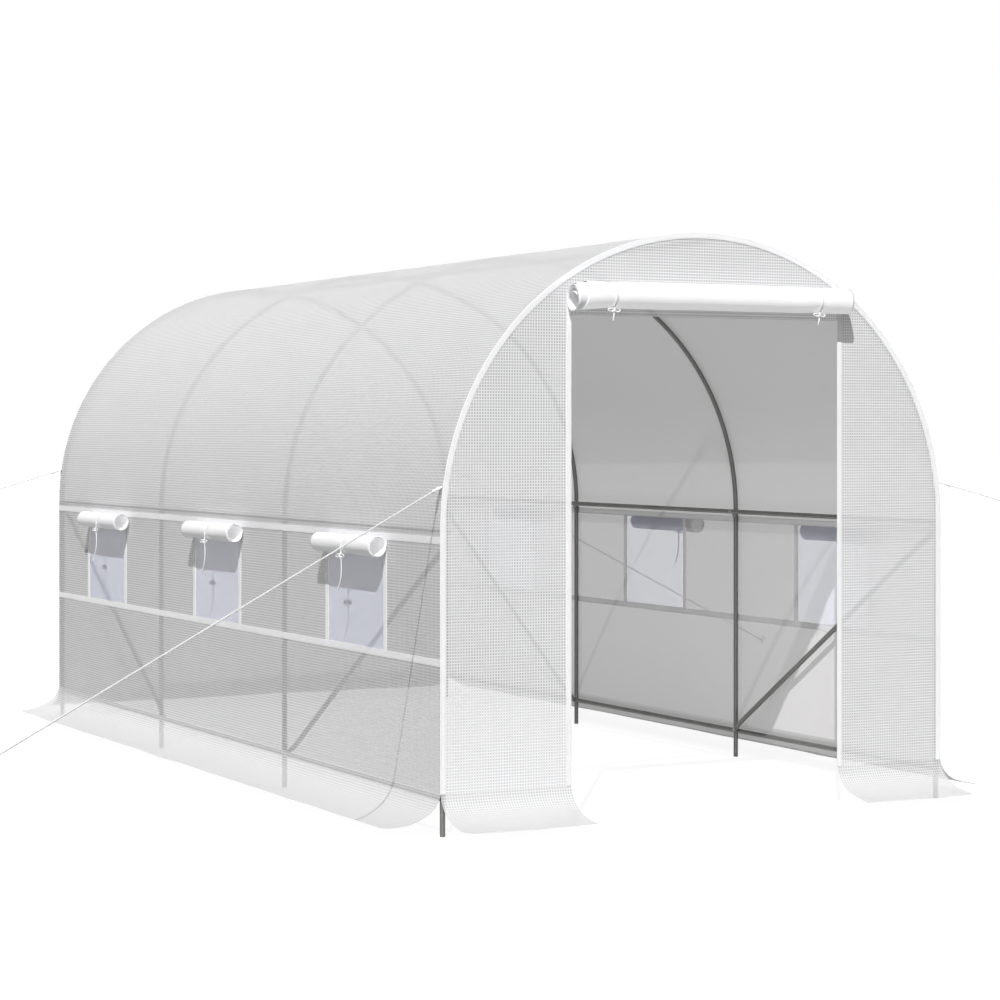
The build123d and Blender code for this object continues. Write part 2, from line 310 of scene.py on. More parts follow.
def feed(tree, socket, value):
    """Link a socket to another one, or set its value."""
    if isinstance(value, bpy.types.NodeSocket):
        tree.links.new(value, socket)
    elif hasattr(value, "__len__") and len(value) == 3 and socket.type == "RGBA":
        socket.default_value = (*value, 1.0)
    else:
        socket.default_value = value


def maths(tree, operation, *values):
    """A Math node's result."""
    made = tree.nodes.new("ShaderNodeMath")
    made.operation = operation
    for socket, value in zip(made.inputs, values):
        feed(tree, socket, value)
    return made.outputs[0]


def mapped(tree, value, low, high, to_low=0.0, to_high=1.0, smooth=True):
    """A value moved from one range to another."""
    made = tree.nodes.new("ShaderNodeMapRange")
    made.interpolation_type = "SMOOTHSTEP" if smooth else "LINEAR"
    for name, given in (
        ("Value", value), ("From Min", low), ("From Max", high), ("To Min", to_low), ("To Max", to_high),
    ):
        feed(tree, made.inputs[name], given)
    return made.outputs["Result"]


def mixed(tree, factor, first, second):
    """Two colours mixed by a factor."""
    made = tree.nodes.new("ShaderNodeMix")
    made.data_type = "RGBA"
    feed(tree, made.inputs["Factor"], factor)
    feed(tree, made.inputs[6], first)
    feed(tree, made.inputs[7], second)
    return made.outputs[2]


def noisy(tree, vector, scale, detail=3.0):
    """Noise from 0 to 1 at a scale in cycles a metre."""
    made = tree.nodes.new("ShaderNodeTexNoise")
    feed(tree, made.inputs["Vector"], vector)
    made.inputs["Scale"].default_value = scale
    made.inputs["Detail"].default_value = detail
    return made.outputs["Fac"]


def new_group(name, inputs, outputs):
    """An empty shader group with float or vector inputs and float outputs."""
    tree = bpy.data.node_groups.new(name, "ShaderNodeTree")
    for label, kind, default in inputs:
        socket = tree.interface.new_socket(name=label, in_out="INPUT", socket_type=f"NodeSocket{kind}")
        if kind == "Float":
            socket.default_value = default
    for label in outputs:
        tree.interface.new_socket(name=label, in_out="OUTPUT", socket_type="NodeSocketFloat")
    entry, leave = tree.nodes.new("NodeGroupInput"), tree.nodes.new("NodeGroupOutput")
    return tree, entry.outputs, leave.inputs


def thread_grid():
    """Group: threads that cross at a pitch, in a sheet's own width and length."""
    tree, given, out = new_group(
        "thread_grid",
        [("Vector", "Vector", None), ("Pitch", "Float", 0.01), ("Thread", "Float", 0.4),
         ("Edge", "Float", 0.12)],
        ["Mask", "Height"],
    )
    split = tree.nodes.new("ShaderNodeSeparateXYZ")
    feed(tree, split.inputs[0], given["Vector"])
    half = maths(tree, "MULTIPLY", given["Pitch"], 0.5)
    masks = []
    for axis in (0, 1):
        wave = maths(tree, "DIVIDE", maths(tree, "PINGPONG", split.outputs[axis], half), half)
        low = maths(tree, "SUBTRACT", given["Thread"], given["Edge"])
        high = maths(tree, "ADD", given["Thread"], given["Edge"])
        masks.append(mapped(tree, wave, low, high, 1.0, 0.0))
    feed(tree, out["Mask"], maths(tree, "MAXIMUM", *masks))
    feed(tree, out["Height"], maths(tree, "ADD", *masks))
    return tree


def slack_film():
    """Group: the slow waves and fine creases of stretched film, and the dust that it holds."""
    tree, given, out = new_group(
        "slack_film",
        [("Vector", "Vector", None), ("Crease", "Float", 1.0)],
        ["Height", "Cloud"],
    )
    slow = noisy(tree, given["Vector"], 2.2, 2.0)
    turned = tree.nodes.new("ShaderNodeMapping")
    turned.inputs["Scale"].default_value = (3.0, 9.0, 5.0)
    feed(tree, turned.inputs["Vector"], given["Vector"])
    crease = noisy(tree, turned.outputs[0], 2.0, 4.0)
    height = maths(tree, "ADD", maths(tree, "MULTIPLY", slow, 1.4), maths(tree, "MULTIPLY", crease, 0.5))
    feed(tree, out["Height"], maths(tree, "MULTIPLY", height, given["Crease"]))
    feed(tree, out["Cloud"], noisy(tree, given["Vector"], 5.5, 5.0))
    return tree


def stitch_rows():
    """Group: a row of stitches along each edge of a tape, whose V runs across it from its middle."""
    tree, given, out = new_group(
        "stitch_rows",
        [("Vector", "Vector", None), ("Offset", "Float", 0.009), ("Stitch", "Float", 0.004)],
        ["Mask"],
    )
    split = tree.nodes.new("ShaderNodeSeparateXYZ")
    feed(tree, split.inputs[0], given["Vector"])
    away = maths(tree, "ABSOLUTE", maths(tree, "SUBTRACT", maths(tree, "ABSOLUTE", split.outputs[1]),
                                         given["Offset"]))
    line = mapped(tree, away, 0.0003, 0.0009, 1.0, 0.0)
    half = maths(tree, "MULTIPLY", given["Stitch"], 0.5)
    along = maths(tree, "DIVIDE", maths(tree, "PINGPONG", split.outputs[0], half), half)
    feed(tree, out["Mask"], maths(tree, "MULTIPLY", line, mapped(tree, along, 0.2, 0.35)))
    return tree


def coat_wear():
    """Group: specks, scuffs and dust on a coated tube."""
    tree, given, out = new_group(
        "coat_wear",
        [("Vector", "Vector", None), ("Speck", "Float", 900.0)],
        ["Speck", "Scuff", "Dust"],
    )
    fine = tree.nodes.new("ShaderNodeTexNoise")
    feed(tree, fine.inputs["Vector"], given["Vector"])
    feed(tree, fine.inputs["Scale"], given["Speck"])
    feed(tree, out["Speck"], fine.outputs["Fac"])
    feed(tree, out["Scuff"], mapped(tree, noisy(tree, given["Vector"], 45.0, 6.0), 0.6, 0.78))
    feed(tree, out["Dust"], mapped(tree, noisy(tree, given["Vector"], 9.0, 4.0), 0.35, 0.75))
    return tree


def group(tree, name, maker, **values):
    """Place a shader group in a material, with its inputs set."""
    made = tree.nodes.new("ShaderNodeGroup")
    made.node_tree = bpy.data.node_groups.get(name) or maker()
    for label, value in values.items():
        feed(tree, made.inputs[label], value)
    return made.outputs


def blank_material(name, roughness, metallic=0.0):
    """A material with its own Principled shader, and the coordinates that it reads."""
    material = bpy.data.materials.new(name)
    material.use_nodes = True
    tree = material.node_tree
    shader = tree.nodes["Principled BSDF"]
    shader.inputs["Roughness"].default_value = roughness
    shader.inputs["Metallic"].default_value = metallic
    place = tree.nodes.new("ShaderNodeTexCoord")
    return material, tree, shader, place.outputs


def bump(tree, shader, height, distance, strength=1.0):
    """Let a height shape the surface's normal."""
    made = tree.nodes.new("ShaderNodeBump")
    made.inputs["Strength"].default_value = strength
    made.inputs["Distance"].default_value = distance
    feed(tree, made.inputs["Height"], height)
    feed(tree, shader.inputs["Normal"], made.outputs["Normal"])


def film_material(name="end film", painted_shade=1.0, cover=1.0, fades=False):
    """White film over a grid of threads, plain inside. painted_shade: painted shade, a factor that darkens
    this copy of the film. fades: the grid dies away down the sheet.
    """
    if name in bpy.data.materials:
        return bpy.data.materials[name]
    film = look("film")
    material, tree, shader, place = blank_material(name, 0.42)
    grid = group(tree, "thread_grid", thread_grid, Vector=place["UV"], Pitch=film.pitch, Thread=film.thread)
    slack = group(tree, "slack_film", slack_film, Vector=place["Object"])
    mask, inside = grid["Mask"], tree.nodes.new("ShaderNodeNewGeometry").outputs["Backfacing"]
    if fades:
        split = tree.nodes.new("ShaderNodeSeparateXYZ")
        feed(tree, split.inputs[0], place["UV"])
        shown = mapped(tree, split.outputs[1], -0.13, -0.01, 0.12, 0.8)
        plain = maths(tree, "MULTIPLY", maths(tree, "SUBTRACT", 1.0, shown), 0.64)
        mask = maths(tree, "ADD", maths(tree, "MULTIPLY", mask, shown), plain)
    cloud = mapped(tree, slack["Cloud"], 0.3, 0.7, 0.0, 0.10)
    thread = mixed(tree, cloud, [painted_shade * part for part in film.thread_colour], (0.62, 0.62, 0.61))
    cell = mixed(tree, cloud, [painted_shade**1.6 * part for part in film.cell_colour], (0.45, 0.45, 0.44))
    outer, inner = mixed(tree, mask, cell, thread), [painted_shade**0.3 * part for part in film.inner_colour]
    feed(tree, shader.inputs["Base Color"], mixed(tree, inside, outer, inner))
    feed(tree, shader.inputs["Roughness"], mapped(tree, mask, 0.0, 1.0, 0.40, 0.55, smooth=False))
    covers = [min(1.0, cover * part) for part in (film.cell_alpha, film.thread_alpha)]
    alpha = mapped(tree, mask, 0.0, 1.0, *covers, smooth=False)
    alpha = mapped(tree, inside, 0.0, 1.0, alpha, film.inner_alpha, smooth=False)
    feed(tree, shader.inputs["Alpha"], alpha)
    height = maths(tree, "ADD", maths(tree, "MULTIPLY", grid["Height"], 0.12), slack["Height"])
    bump(tree, shader, height, 0.0012, 0.8)
    return material


def rolled_material(name, first_turn, inner_glow, outer_glow, heights):
    """Several layers of the film together, with a painted glow: an emission in place of the light that
    soaks through them.

    outer_glow: the painted glow of the outermost turn at each of two heights.
    """
    if name in bpy.data.materials:
        return bpy.data.materials[name]
    film = look("film")
    material, tree, shader, place = blank_material(name, 0.45)
    along, upright = (tree.nodes.new("ShaderNodeSeparateXYZ") for _ in range(2))
    feed(tree, along.inputs[0], place["UV"])
    feed(tree, upright.inputs[0], place["Object"])
    # Painted glow: emission on the outer turn, set by height, and on the inner turns past first_turn
    glow = mapped(tree, upright.outputs[2], *heights, *outer_glow)
    glow = mapped(tree, along.outputs[1], first_turn, first_turn + 0.02, glow, inner_glow)
    feed(tree, shader.inputs["Emission Color"], mixed(tree, glow, (0.0, 0.0, 0.0), (1.0, 1.0, 1.0)))
    shader.inputs["Emission Strength"].default_value = 1.0
    grid = group(tree, "thread_grid", thread_grid, Vector=place["UV"], Pitch=film.pitch, Thread=film.thread)
    slack = group(tree, "slack_film", slack_film, Vector=place["Object"], Crease=1.6)
    shade = maths(tree, "SUBTRACT", 1.0, grid["Mask"])
    shade = maths(tree, "ADD", maths(tree, "MULTIPLY", shade, 0.09),
                  mapped(tree, slack["Cloud"], 0.35, 0.7, 0.0, 0.05))
    feed(tree, shader.inputs["Base Color"], mixed(tree, shade, look("rolls").colour, (0.55, 0.55, 0.56)))
    height = maths(tree, "ADD", maths(tree, "MULTIPLY", grid["Height"], 0.1), slack["Height"])
    bump(tree, shader, height, 0.0012, 0.8)
    return material


def tape_material(name="sewn tape", width=0.024):
    """White woven tape with a row of stitches along each edge."""
    if name in bpy.data.materials:
        return bpy.data.materials[name]
    trim = look("trim")
    material, tree, shader, place = blank_material(name, 0.6)
    weave = group(tree, "thread_grid", thread_grid, Vector=place["UV"], Pitch=0.0012, Thread=0.5)
    rows = group(tree, "stitch_rows", stitch_rows, Vector=place["UV"], Offset=width / 2 - 0.003)
    slack = group(tree, "slack_film", slack_film, Vector=place["Object"], Crease=0.4)
    shade = maths(tree, "ADD", maths(tree, "MULTIPLY", rows["Mask"], 0.25),
                  mapped(tree, slack["Cloud"], 0.35, 0.7, 0.0, 0.06))
    feed(tree, shader.inputs["Base Color"], mixed(tree, shade, trim.colour, (0.55, 0.55, 0.55)))
    height = maths(tree, "SUBTRACT", maths(tree, "MULTIPLY", weave["Mask"], 0.25), rows["Mask"])
    bump(tree, shader, height, 0.0004)
    return material


def mesh_material():
    """Fine insect mesh, bluish against the film."""
    if "insect mesh" in bpy.data.materials:
        return bpy.data.materials["insect mesh"]
    film = look("film")
    material, tree, shader, place = blank_material("insect mesh", 0.55)
    weave = group(
        tree, "thread_grid", thread_grid, Vector=place["UV"], Pitch=0.0016, Thread=0.45, Edge=0.15,
    )
    slack = group(tree, "slack_film", slack_film, Vector=place["Object"])
    shade = mapped(tree, slack["Cloud"], 0.3, 0.7, 0.0, 0.12)
    feed(tree, shader.inputs["Base Color"], mixed(tree, shade, film.mesh_colour, (0.7, 0.72, 0.8)))
    covers = (film.mesh_alpha - 0.25, film.mesh_alpha + 0.17)
    feed(tree, shader.inputs["Alpha"], mapped(tree, weave["Mask"], 0.0, 1.0, *covers, smooth=False))
    bump(tree, shader, maths(tree, "ADD", weave["Mask"], slack["Height"]), 0.0004)
    return material


def steel_material(name="coated steel", colour=None, roughness=0.38, metallic=0.45):
    """Dark coated tube, dusty, with scuffs where it was handled."""
    if name in bpy.data.materials:
        return bpy.data.materials[name]
    colour = look("steel").colour if colour is None else colour
    material, tree, shader, place = blank_material(name, roughness, metallic)
    wear = group(tree, "coat_wear", coat_wear, Vector=place["Object"])
    dusty = [0.72 * part + 0.07 for part in colour]
    scuffed = [min(1.0, part * 1.9 + 0.04) for part in colour]
    base = mixed(tree, maths(tree, "MULTIPLY", wear["Dust"], 0.5), colour, dusty)
    base = mixed(tree, maths(tree, "MULTIPLY", wear["Scuff"], 0.35), base, scuffed)
    feed(tree, shader.inputs["Base Color"], base)
    feed(tree, shader.inputs["Roughness"],
         mapped(tree, wear["Dust"], 0.0, 1.0, roughness, roughness + 0.2, smooth=False))
    bump(tree, shader, wear["Speck"], 0.0002, 0.5)
    return material


def zinc_material():
    """Zinc-plated bolts and pegs."""
    return steel_material("zinc plated", (0.42, 0.42, 0.41), 0.35, 0.9)


def rope_material():
    """White twisted cord, a little grey in its grooves."""
    if "white cord" in bpy.data.materials:
        return bpy.data.materials["white cord"]
    material, tree, shader, place = blank_material("white cord", 0.65)
    fibre = noisy(tree, place["Object"], 1400.0, 2.0)
    dust = noisy(tree, place["Object"], 30.0, 4.0)
    shade = maths(tree, "MULTIPLY", maths(tree, "ADD", fibre, dust), 0.12)
    colour = mixed(tree, shade, look("ropes").rope_colour, (0.45, 0.44, 0.42))
    feed(tree, shader.inputs["Base Color"], colour)
    bump(tree, shader, fibre, 0.0003)
    return material


# Mesh helpers

def everything(bm):
    """All the parts of a bmesh."""
    return bm.verts[:] + bm.edges[:] + bm.faces[:]


def ring_edges(ring):
    """The edges of a ring of points, each once."""
    return list(dict.fromkeys(edge for vert in ring for edge in vert.link_edges))


def new_ring(made):
    """The points that an operator made, and the edges between them."""
    verts = [part for part in made if isinstance(part, bmesh.types.BMVert)]
    edges = [part for part in made if isinstance(part, bmesh.types.BMEdge)]
    return verts, [edge for edge in edges if all(vert in verts for vert in edge.verts)]


def draw_out(bm, edges, height, steps=1):
    """Draw a ring of edges up or down in equal steps, and give back the last ring."""
    for step in range(steps):
        verts, edges = new_ring(bmesh.ops.extrude_edge_only(bm, edges=edges)["geom"])
        bmesh.ops.translate(bm, vec=(0, 0, height / steps), verts=verts)
    return verts, edges


def finish_piece(name, bm, material, replaces=(), sharp=radians(32)):
    """Turn a bmesh into a piece that rides on the greenhouse."""
    mesh = bpy.data.meshes.new(name)
    bm.to_mesh(mesh)
    bm.free()
    mesh.materials.append(material)
    mesh.shade_smooth()
    mesh.set_sharp_from_angle(angle=sharp)
    piece = bpy.data.objects.new(name, mesh)
    bpy.context.scene.collection.objects.link(piece)
    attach(piece, "root")
    if replaces:
        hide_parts(*replaces)
    return piece


def flat_sheet(low, high, cell):
    """Start a sheet flat, between two corners in its own width and length."""
    bm = bmesh.new()
    counts = [max(1, ceil((b - a) / cell)) for a, b in zip(low, high)]
    bmesh.ops.create_grid(bm, x_segments=counts[0], y_segments=counts[1], size=0.5)
    bmesh.ops.scale(bm, vec=(high[0] - low[0], high[1] - low[1], 1), verts=bm.verts)
    bmesh.ops.translate(bm, vec=((low[0] + high[0]) / 2, (low[1] + high[1]) / 2, 0), verts=bm.verts)
    return bm


def slit(bm, point, normal, clear=False):
    """Cut a flat sheet along a line, and drop what lies beyond it if asked."""
    bmesh.ops.bisect_plane(
        bm, geom=everything(bm), dist=1e-6, plane_co=(*point, 0), plane_no=(*normal, 0), clear_outer=clear,
    )


def cut_hole(bm, low, high):
    """Cut a rectangle out of a flat sheet."""
    for point in (low, high):
        slit(bm, point, (1, 0))
        slit(bm, point, (0, 1))
    gone = [
        face for face in bm.faces
        if all(a < c < b for a, c, b in zip(low, face.calc_center_median(), high))
    ]
    bmesh.ops.delete(bm, geom=gone, context="FACES")


def round_corner(bm, corner, inward, radius, steps=9):
    """Round one corner of a flat sheet. inward is the sign of the way to the sheet on each axis."""
    centre = Vector((corner[0] + inward[0] * radius, corner[1] + inward[1] * radius))
    for step in range(steps):
        turn = pi / 2 * (step + 0.5) / steps
        normal = Vector((-inward[0] * cos(turn), -inward[1] * sin(turn)))
        slit(bm, centre + normal * radius * cos(pi / 4 / steps), normal, clear=True)


def lay_flat_map(bm):
    """Keep each point's place in the flat sheet, in metres, as the sheet's UV map."""
    layer = bm.loops.layers.uv.new("flat")
    for face in bm.faces:
        for loop in face.loops:
            loop[layer].uv = loop.vert.co.xy


def shape_sheet(bm, place, inside=Vector((0, 0, 0.9))):
    """Move a flat sheet's points to their places, with its faces pointing away from the inside."""
    lay_flat_map(bm)
    for vert in bm.verts:
        vert.co = place(vert.co.x, vert.co.y)
    bm.normal_update()
    facing = sum(
        face.normal.dot(face.calc_center_median() - inside) * face.calc_area() for face in bm.faces
    )
    if facing < 0:
        bmesh.ops.reverse_faces(bm, faces=bm.faces)


def add_tube(bm, start, end, radius, sides=24):
    """Add a closed round tube between two points."""
    start, end = Vector(start), Vector(end)
    run = end - start
    turn = run.to_track_quat("Z", "Y").to_matrix().to_4x4()
    bmesh.ops.create_cone(
        bm, cap_ends=True, segments=sides, radius1=radius, radius2=radius, depth=run.length,
        matrix=Matrix.Translation((start + end) / 2) @ turn,
    )


def add_band(bm, centre, along, across, length, width, thickness, cell=0.04):
    """Add a flat tape with soft edges, and a UV map that runs along and across it."""
    centre, along, across = Vector(centre), Vector(along), Vector(across)
    outward = along.cross(across)
    turn = Matrix((along, across, outward)).transposed().to_4x4()
    size = Matrix.Diagonal((length, width, thickness, 1))
    made = bmesh.ops.create_cube(bm, size=1, matrix=Matrix.Translation(centre) @ turn @ size)
    edges = {edge for vert in made["verts"] for edge in vert.link_edges}
    bevelled = bmesh.ops.bevel(
        bm, geom=list(edges), offset=thickness * 0.3, segments=2, profile=0.5, affect="EDGES", material=-1,
    )
    faces = {face for vert in bevelled["verts"] for face in vert.link_faces}
    for step in range(1, int(length / cell)):
        point = centre + along * (step * cell - length / 2)
        inside = {*faces}
        inside |= {edge for face in faces for edge in face.edges}
        inside |= {vert for face in faces for vert in face.verts}
        cut = bmesh.ops.bisect_plane(bm, geom=list(inside), dist=1e-6, plane_co=point, plane_no=along)
        faces = {part for part in cut["geom"] if isinstance(part, bmesh.types.BMFace)}
    layer = bm.loops.layers.uv.verify()
    for face in faces:
        for loop in face.loops:
            away = loop.vert.co - centre
            loop[layer].uv = (away.dot(along), away.dot(across))


def between_hoops(along):
    """0 on a hoop and past the end hoops, rising to 1 halfway from one hoop to the next."""
    return sin(pi * (along - HOOP_LINES[0]) / BAY) ** 2 if HOOP_LINES[0] < along < HOOP_LINES[-1] else 0.0


def wall_slack(along, height):
    """How far the film stands in from its full width at a point of a wall."""
    wave = 0.6 + 0.4 * noise.noise(Vector((along * 1.7, height * 2.3, 4.0)))
    edge = min(1.0, max(0.0, (height - SKIRT_TOP) / 0.25), max(0.0, (EAVE - height) / 0.2 + 0.3))
    return look("film").sag * between_hoops(along) * wave * edge


def cord_points(route, cyclic=False):
    """A smooth line through the pull of a route's points."""
    curve = bpy.data.curves.new("route", "CURVE")
    curve.dimensions = "3D"
    spline = curve.splines.new("NURBS")
    spline.points.add(len(route) - 1)
    for point, place in zip(spline.points, route):
        point.co = (*place, 1)
    spline.order_u = 3
    spline.use_endpoint_u = not cyclic
    spline.use_cyclic_u = cyclic
    spline.resolution_u = 6
    return curve


def add_cord(bm, route, radius, cyclic=False):
    """Add a round cord along a route."""
    curve = cord_points(route, cyclic)
    curve.bevel_depth = radius
    curve.bevel_resolution = 2
    curve.use_fill_caps = True
    holder = bpy.data.objects.new("route", curve)
    mesh = bpy.data.meshes.new_from_object(holder)
    bm.from_mesh(mesh)
    bpy.data.objects.remove(holder)
    bpy.data.meshes.remove(mesh)
    bpy.data.curves.remove(curve)


# Pieces

class GREENHOUSE_OT_stage(bpy.types.Operator):
    """Set the pale floor, the light and the camera"""

    bl_idname = "greenhouse.stage"
    bl_label = "Stage"
    inner_gap = 0.072  # from the inner lights to each end of the cover

    def execute(self, context):
        stage = look("stage")
        bm = bmesh.new()
        bmesh.ops.create_grid(bm, x_segments=1, y_segments=1, size=stage.floor_size / 2)
        mesh = bpy.data.meshes.new("floor")
        bm.to_mesh(mesh)
        bm.free()
        mesh.materials.append(self.floor_material(stage))
        floor = bpy.data.objects.new("floor", mesh)
        context.scene.collection.objects.link(floor)

        for name, way, strength, angle in (
            ("sun", stage.sun_way, stage.sun_strength, stage.sun_angle),
            ("fill", stage.fill_way, stage.fill_strength, stage.fill_angle),
        ):
            light, holder = self.add_light(context, name, "SUN", strength)
            light.angle = angle
            holder.rotation_euler = Vector(way).to_track_quat("-Z", "Y").to_euler()
        for name, power, height, turn in (
            ("down light", stage.inner_power[0], EAVE + 0.75 * HALF_WIDTH, 0),
            ("up light", stage.inner_power[1], SKIRT_TOP, pi),
        ):
            light, holder = self.add_light(context, name, "AREA", power)
            light.shape = "RECTANGLE"
            light.size, light.size_y = HALF_WIDTH, REAR_FACE - FRONT_FACE - 2 * self.inner_gap
            holder.location.z, holder.rotation_euler.x = height, turn
            holder.visible_camera = False

        camera = bpy.data.cameras.new("camera")
        camera.lens, camera.shift_y = stage.lens, stage.camera_drop
        camera.clip_end = stage.floor_size
        holder = bpy.data.objects.new("camera", camera)
        holder.location = stage.camera_place
        holder.rotation_euler = (pi / 2, 0, -stage.camera_turn)
        context.scene.collection.objects.link(holder)
        context.scene.camera = holder
        context.scene.world = self.sky(stage)
        context.scene.view_settings.view_transform = "Standard"
        return {"FINISHED"}

    @staticmethod
    def add_light(context, name, kind, energy):
        """A light and the object that holds it."""
        light = bpy.data.lights.new(name, kind)
        light.energy = energy
        holder = bpy.data.objects.new(name, light)
        context.scene.collection.objects.link(holder)
        return light, holder

    @staticmethod
    def seen_ray(tree):
        """1 for the rays that show the background straight, in gloss or through something clear."""
        path = tree.nodes.new("ShaderNodeLightPath").outputs
        seen = maths(tree, "ADD", path["Is Camera Ray"], path["Is Glossy Ray"])
        return maths(tree, "MINIMUM", maths(tree, "ADD", seen, path["Is Transmission Ray"]), 1.0)

    def floor_material(self, stage):
        """Pale grey to the light, and white to the camera with the shadows kept."""
        material = bpy.data.materials.new("floor")
        material.use_nodes = True
        tree = material.node_tree
        tree.nodes.remove(tree.nodes["Principled BSDF"])
        plain, glow = tree.nodes.new("ShaderNodeBsdfDiffuse"), tree.nodes.new("ShaderNodeEmission")
        feed(tree, plain.inputs["Color"], (stage.floor_colour,) * 3)
        glow.inputs["Strength"].default_value = 1.0
        feed(tree, glow.inputs["Color"], (stage.floor_glow,) * 3)
        both, mix = tree.nodes.new("ShaderNodeAddShader"), tree.nodes.new("ShaderNodeMixShader")
        feed(tree, both.inputs[0], plain.outputs[0])
        feed(tree, both.inputs[1], glow.outputs[0])
        feed(tree, mix.inputs[0], self.seen_ray(tree))
        feed(tree, mix.inputs[1], plain.outputs[0])
        feed(tree, mix.inputs[2], both.outputs[0])
        feed(tree, tree.nodes["Material Output"].inputs["Surface"], mix.outputs[0])
        return material

    def sky(self, stage):
        """Even light, and a white background."""
        world = bpy.data.worlds.new("sky")
        world.use_nodes = True
        tree = world.node_tree
        even = tree.nodes["Background"]
        even.inputs["Color"].default_value = (1, 1, 1, 1)
        even.inputs["Strength"].default_value = stage.sky_strength
        white, mix = tree.nodes.new("ShaderNodeBackground"), tree.nodes.new("ShaderNodeMixShader")
        white.inputs["Color"].default_value = (1, 1, 1, 1)
        white.inputs["Strength"].default_value = 1.0
        feed(tree, mix.inputs[0], self.seen_ray(tree))
        feed(tree, mix.inputs[1], even.outputs[0])
        feed(tree, mix.inputs[2], white.outputs[0])
        feed(tree, tree.nodes["World Output"].inputs["Surface"], mix.outputs[0])
        return world


class GREENHOUSE_OT_hoops(bpy.types.Operator):
    """Bend the half-round hoops of the frame"""

    bl_idname = "greenhouse.hoops"
    bl_label = "Hoops"

    def execute(self, context):
        for number, line in enumerate(HOOP_LINES, start=1):
            bm = bmesh.new()
            ring = bmesh.ops.create_circle(
                bm, segments=24, radius=TUBE_RADIUS, matrix=Matrix.Translation((LEG_LINE, line, EAVE)),
            )["verts"]
            bmesh.ops.spin(
                bm, geom=ring + ring_edges(ring), cent=(0, line, EAVE), axis=(0, -1, 0), angle=pi,
                steps=96,
            )
            bmesh.ops.holes_fill(bm, edges=bm.edges[:])
            bmesh.ops.recalc_face_normals(bm, faces=bm.faces)
            finish_piece(f"hoop_tube_{number}", bm, steel_material(), [f"hoop_{number}"])
        return {"FINISHED"}


class GREENHOUSE_OT_straight_tubes(bpy.types.Operator):
    """Set the legs, purlins and rails"""

    bl_idname = "greenhouse.straight_tubes"
    bl_label = "Legs, purlins and rails"

    def execute(self, context):
        end = HOOP_LINES[-1] + TUBE_RADIUS
        for side, sign in SIDES.items():
            bm = bmesh.new()
            for line in HOOP_LINES:
                add_tube(bm, (sign * LEG_LINE, line, 0), (sign * LEG_LINE, line, EAVE), TUBE_RADIUS)
            finish_piece(f"{side}_leg_tubes", bm, steel_material(), [f"{side}_legs"])
            bm = bmesh.new()
            across = sign * PURLIN_LINE
            add_tube(bm, (across, -end, PURLIN_HEIGHT), (across, end, PURLIN_HEIGHT), TUBE_RADIUS)
            finish_piece(f"{side}_purlin_tube", bm, steel_material(), [f"{side}_purlin"])
            bm = bmesh.new()
            across = sign * LEG_LINE
            height = RAIL_HEIGHTS[side]
            for line in HOOP_LINES[:-1]:
                start, stop = line + TUBE_RADIUS, line + BAY - TUBE_RADIUS
                add_tube(bm, (across, start, height), (across, stop, height), TUBE_RADIUS)
            finish_piece(f"{side}_rail_tubes", bm, steel_material(), [f"{side}_rail"])
        bm = bmesh.new()
        height = middle("ridge_purlin", 2)
        add_tube(bm, (0, -end, height), (0, end, height), TUBE_RADIUS)
        finish_piece("ridge_purlin_tube", bm, steel_material(), ["ridge_purlin"])
        return {"FINISHED"}


def brace_head(side):
    """The height of a brace's head, whose box reaches as far above it as below its foot."""
    low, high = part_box(f"{side}_front_brace")
    return low.z + high.z - RAIL_HEIGHTS[side]


class GREENHOUSE_OT_braces(bpy.types.Operator):
    """Set the diagonal braces, flattened where they are bolted"""

    bl_idname = "greenhouse.braces"
    bl_label = "Braces"

    def execute(self, context):
        for side, sign in SIDES.items():
            for end, (head, foot) in END_BAYS.items():
                node = f"{side}_{end}_brace"
                bm = bmesh.new()
                start = Vector((sign * PURLIN_LINE, foot, RAIL_HEIGHTS[side]))
                self.add_brace(bm, sign, start, Vector((sign * PURLIN_LINE, head, brace_head(side))))
                finish_piece(f"{node}_tube", bm, steel_material(), [node])
        return {"FINISHED"}

    @staticmethod
    def add_brace(bm, sign, start, end):
        """A round tube that is pressed flat at each end."""
        steel = look("steel")
        tab, taper = steel.tab_length, steel.tab_length + steel.press_length
        thickness, width = (part / 2 / TUBE_RADIUS for part in steel.tab_size)
        run = end - start
        heading = run.normalized()
        sideways = Vector((sign, 0, 0))
        seat = sideways * (TUBE_RADIUS - steel.tab_size[0] / 2)
        turn = Matrix((sideways, heading.cross(sideways), heading)).transposed().to_4x4()
        ring = bmesh.ops.create_circle(
            bm, segments=24, radius=TUBE_RADIUS, matrix=Matrix.Translation(start) @ turn,
        )["verts"]
        stations = [
            (0.0, 1.0), (tab, 1.0), (taper, 0.0), (run.length - taper, 0.0),
            (run.length - tab, 1.0), (run.length, 1.0),
        ]
        circle = [vert.co - start for vert in ring]
        previous = ring
        for number, (distance, flat) in enumerate(stations):
            if number:
                edges = list({e for v in previous for e in v.link_edges if e.other_vert(v) in previous})
                made = bmesh.ops.extrude_edge_only(bm, edges=edges)
                copies = new_ring(made["geom"])[0]
                order = {}
                for vert in copies:
                    beside = (edge.other_vert(vert) for edge in vert.link_edges)
                    order[previous.index(next(other for other in beside if other in previous))] = vert
                previous = [order[index] for index in range(len(circle))]
            for vert, offset in zip(previous, circle):
                thin = offset.dot(sideways)
                wide = offset - sideways * thin
                shaped = sideways * thin * (1 - (1 - thickness) * flat) + wide * (1 + (width - 1) * flat)
                vert.co = start + heading * distance + shaped + seat * flat
        bmesh.ops.holes_fill(bm, edges=bm.edges[:])
        bmesh.ops.recalc_face_normals(bm, faces=bm.faces)


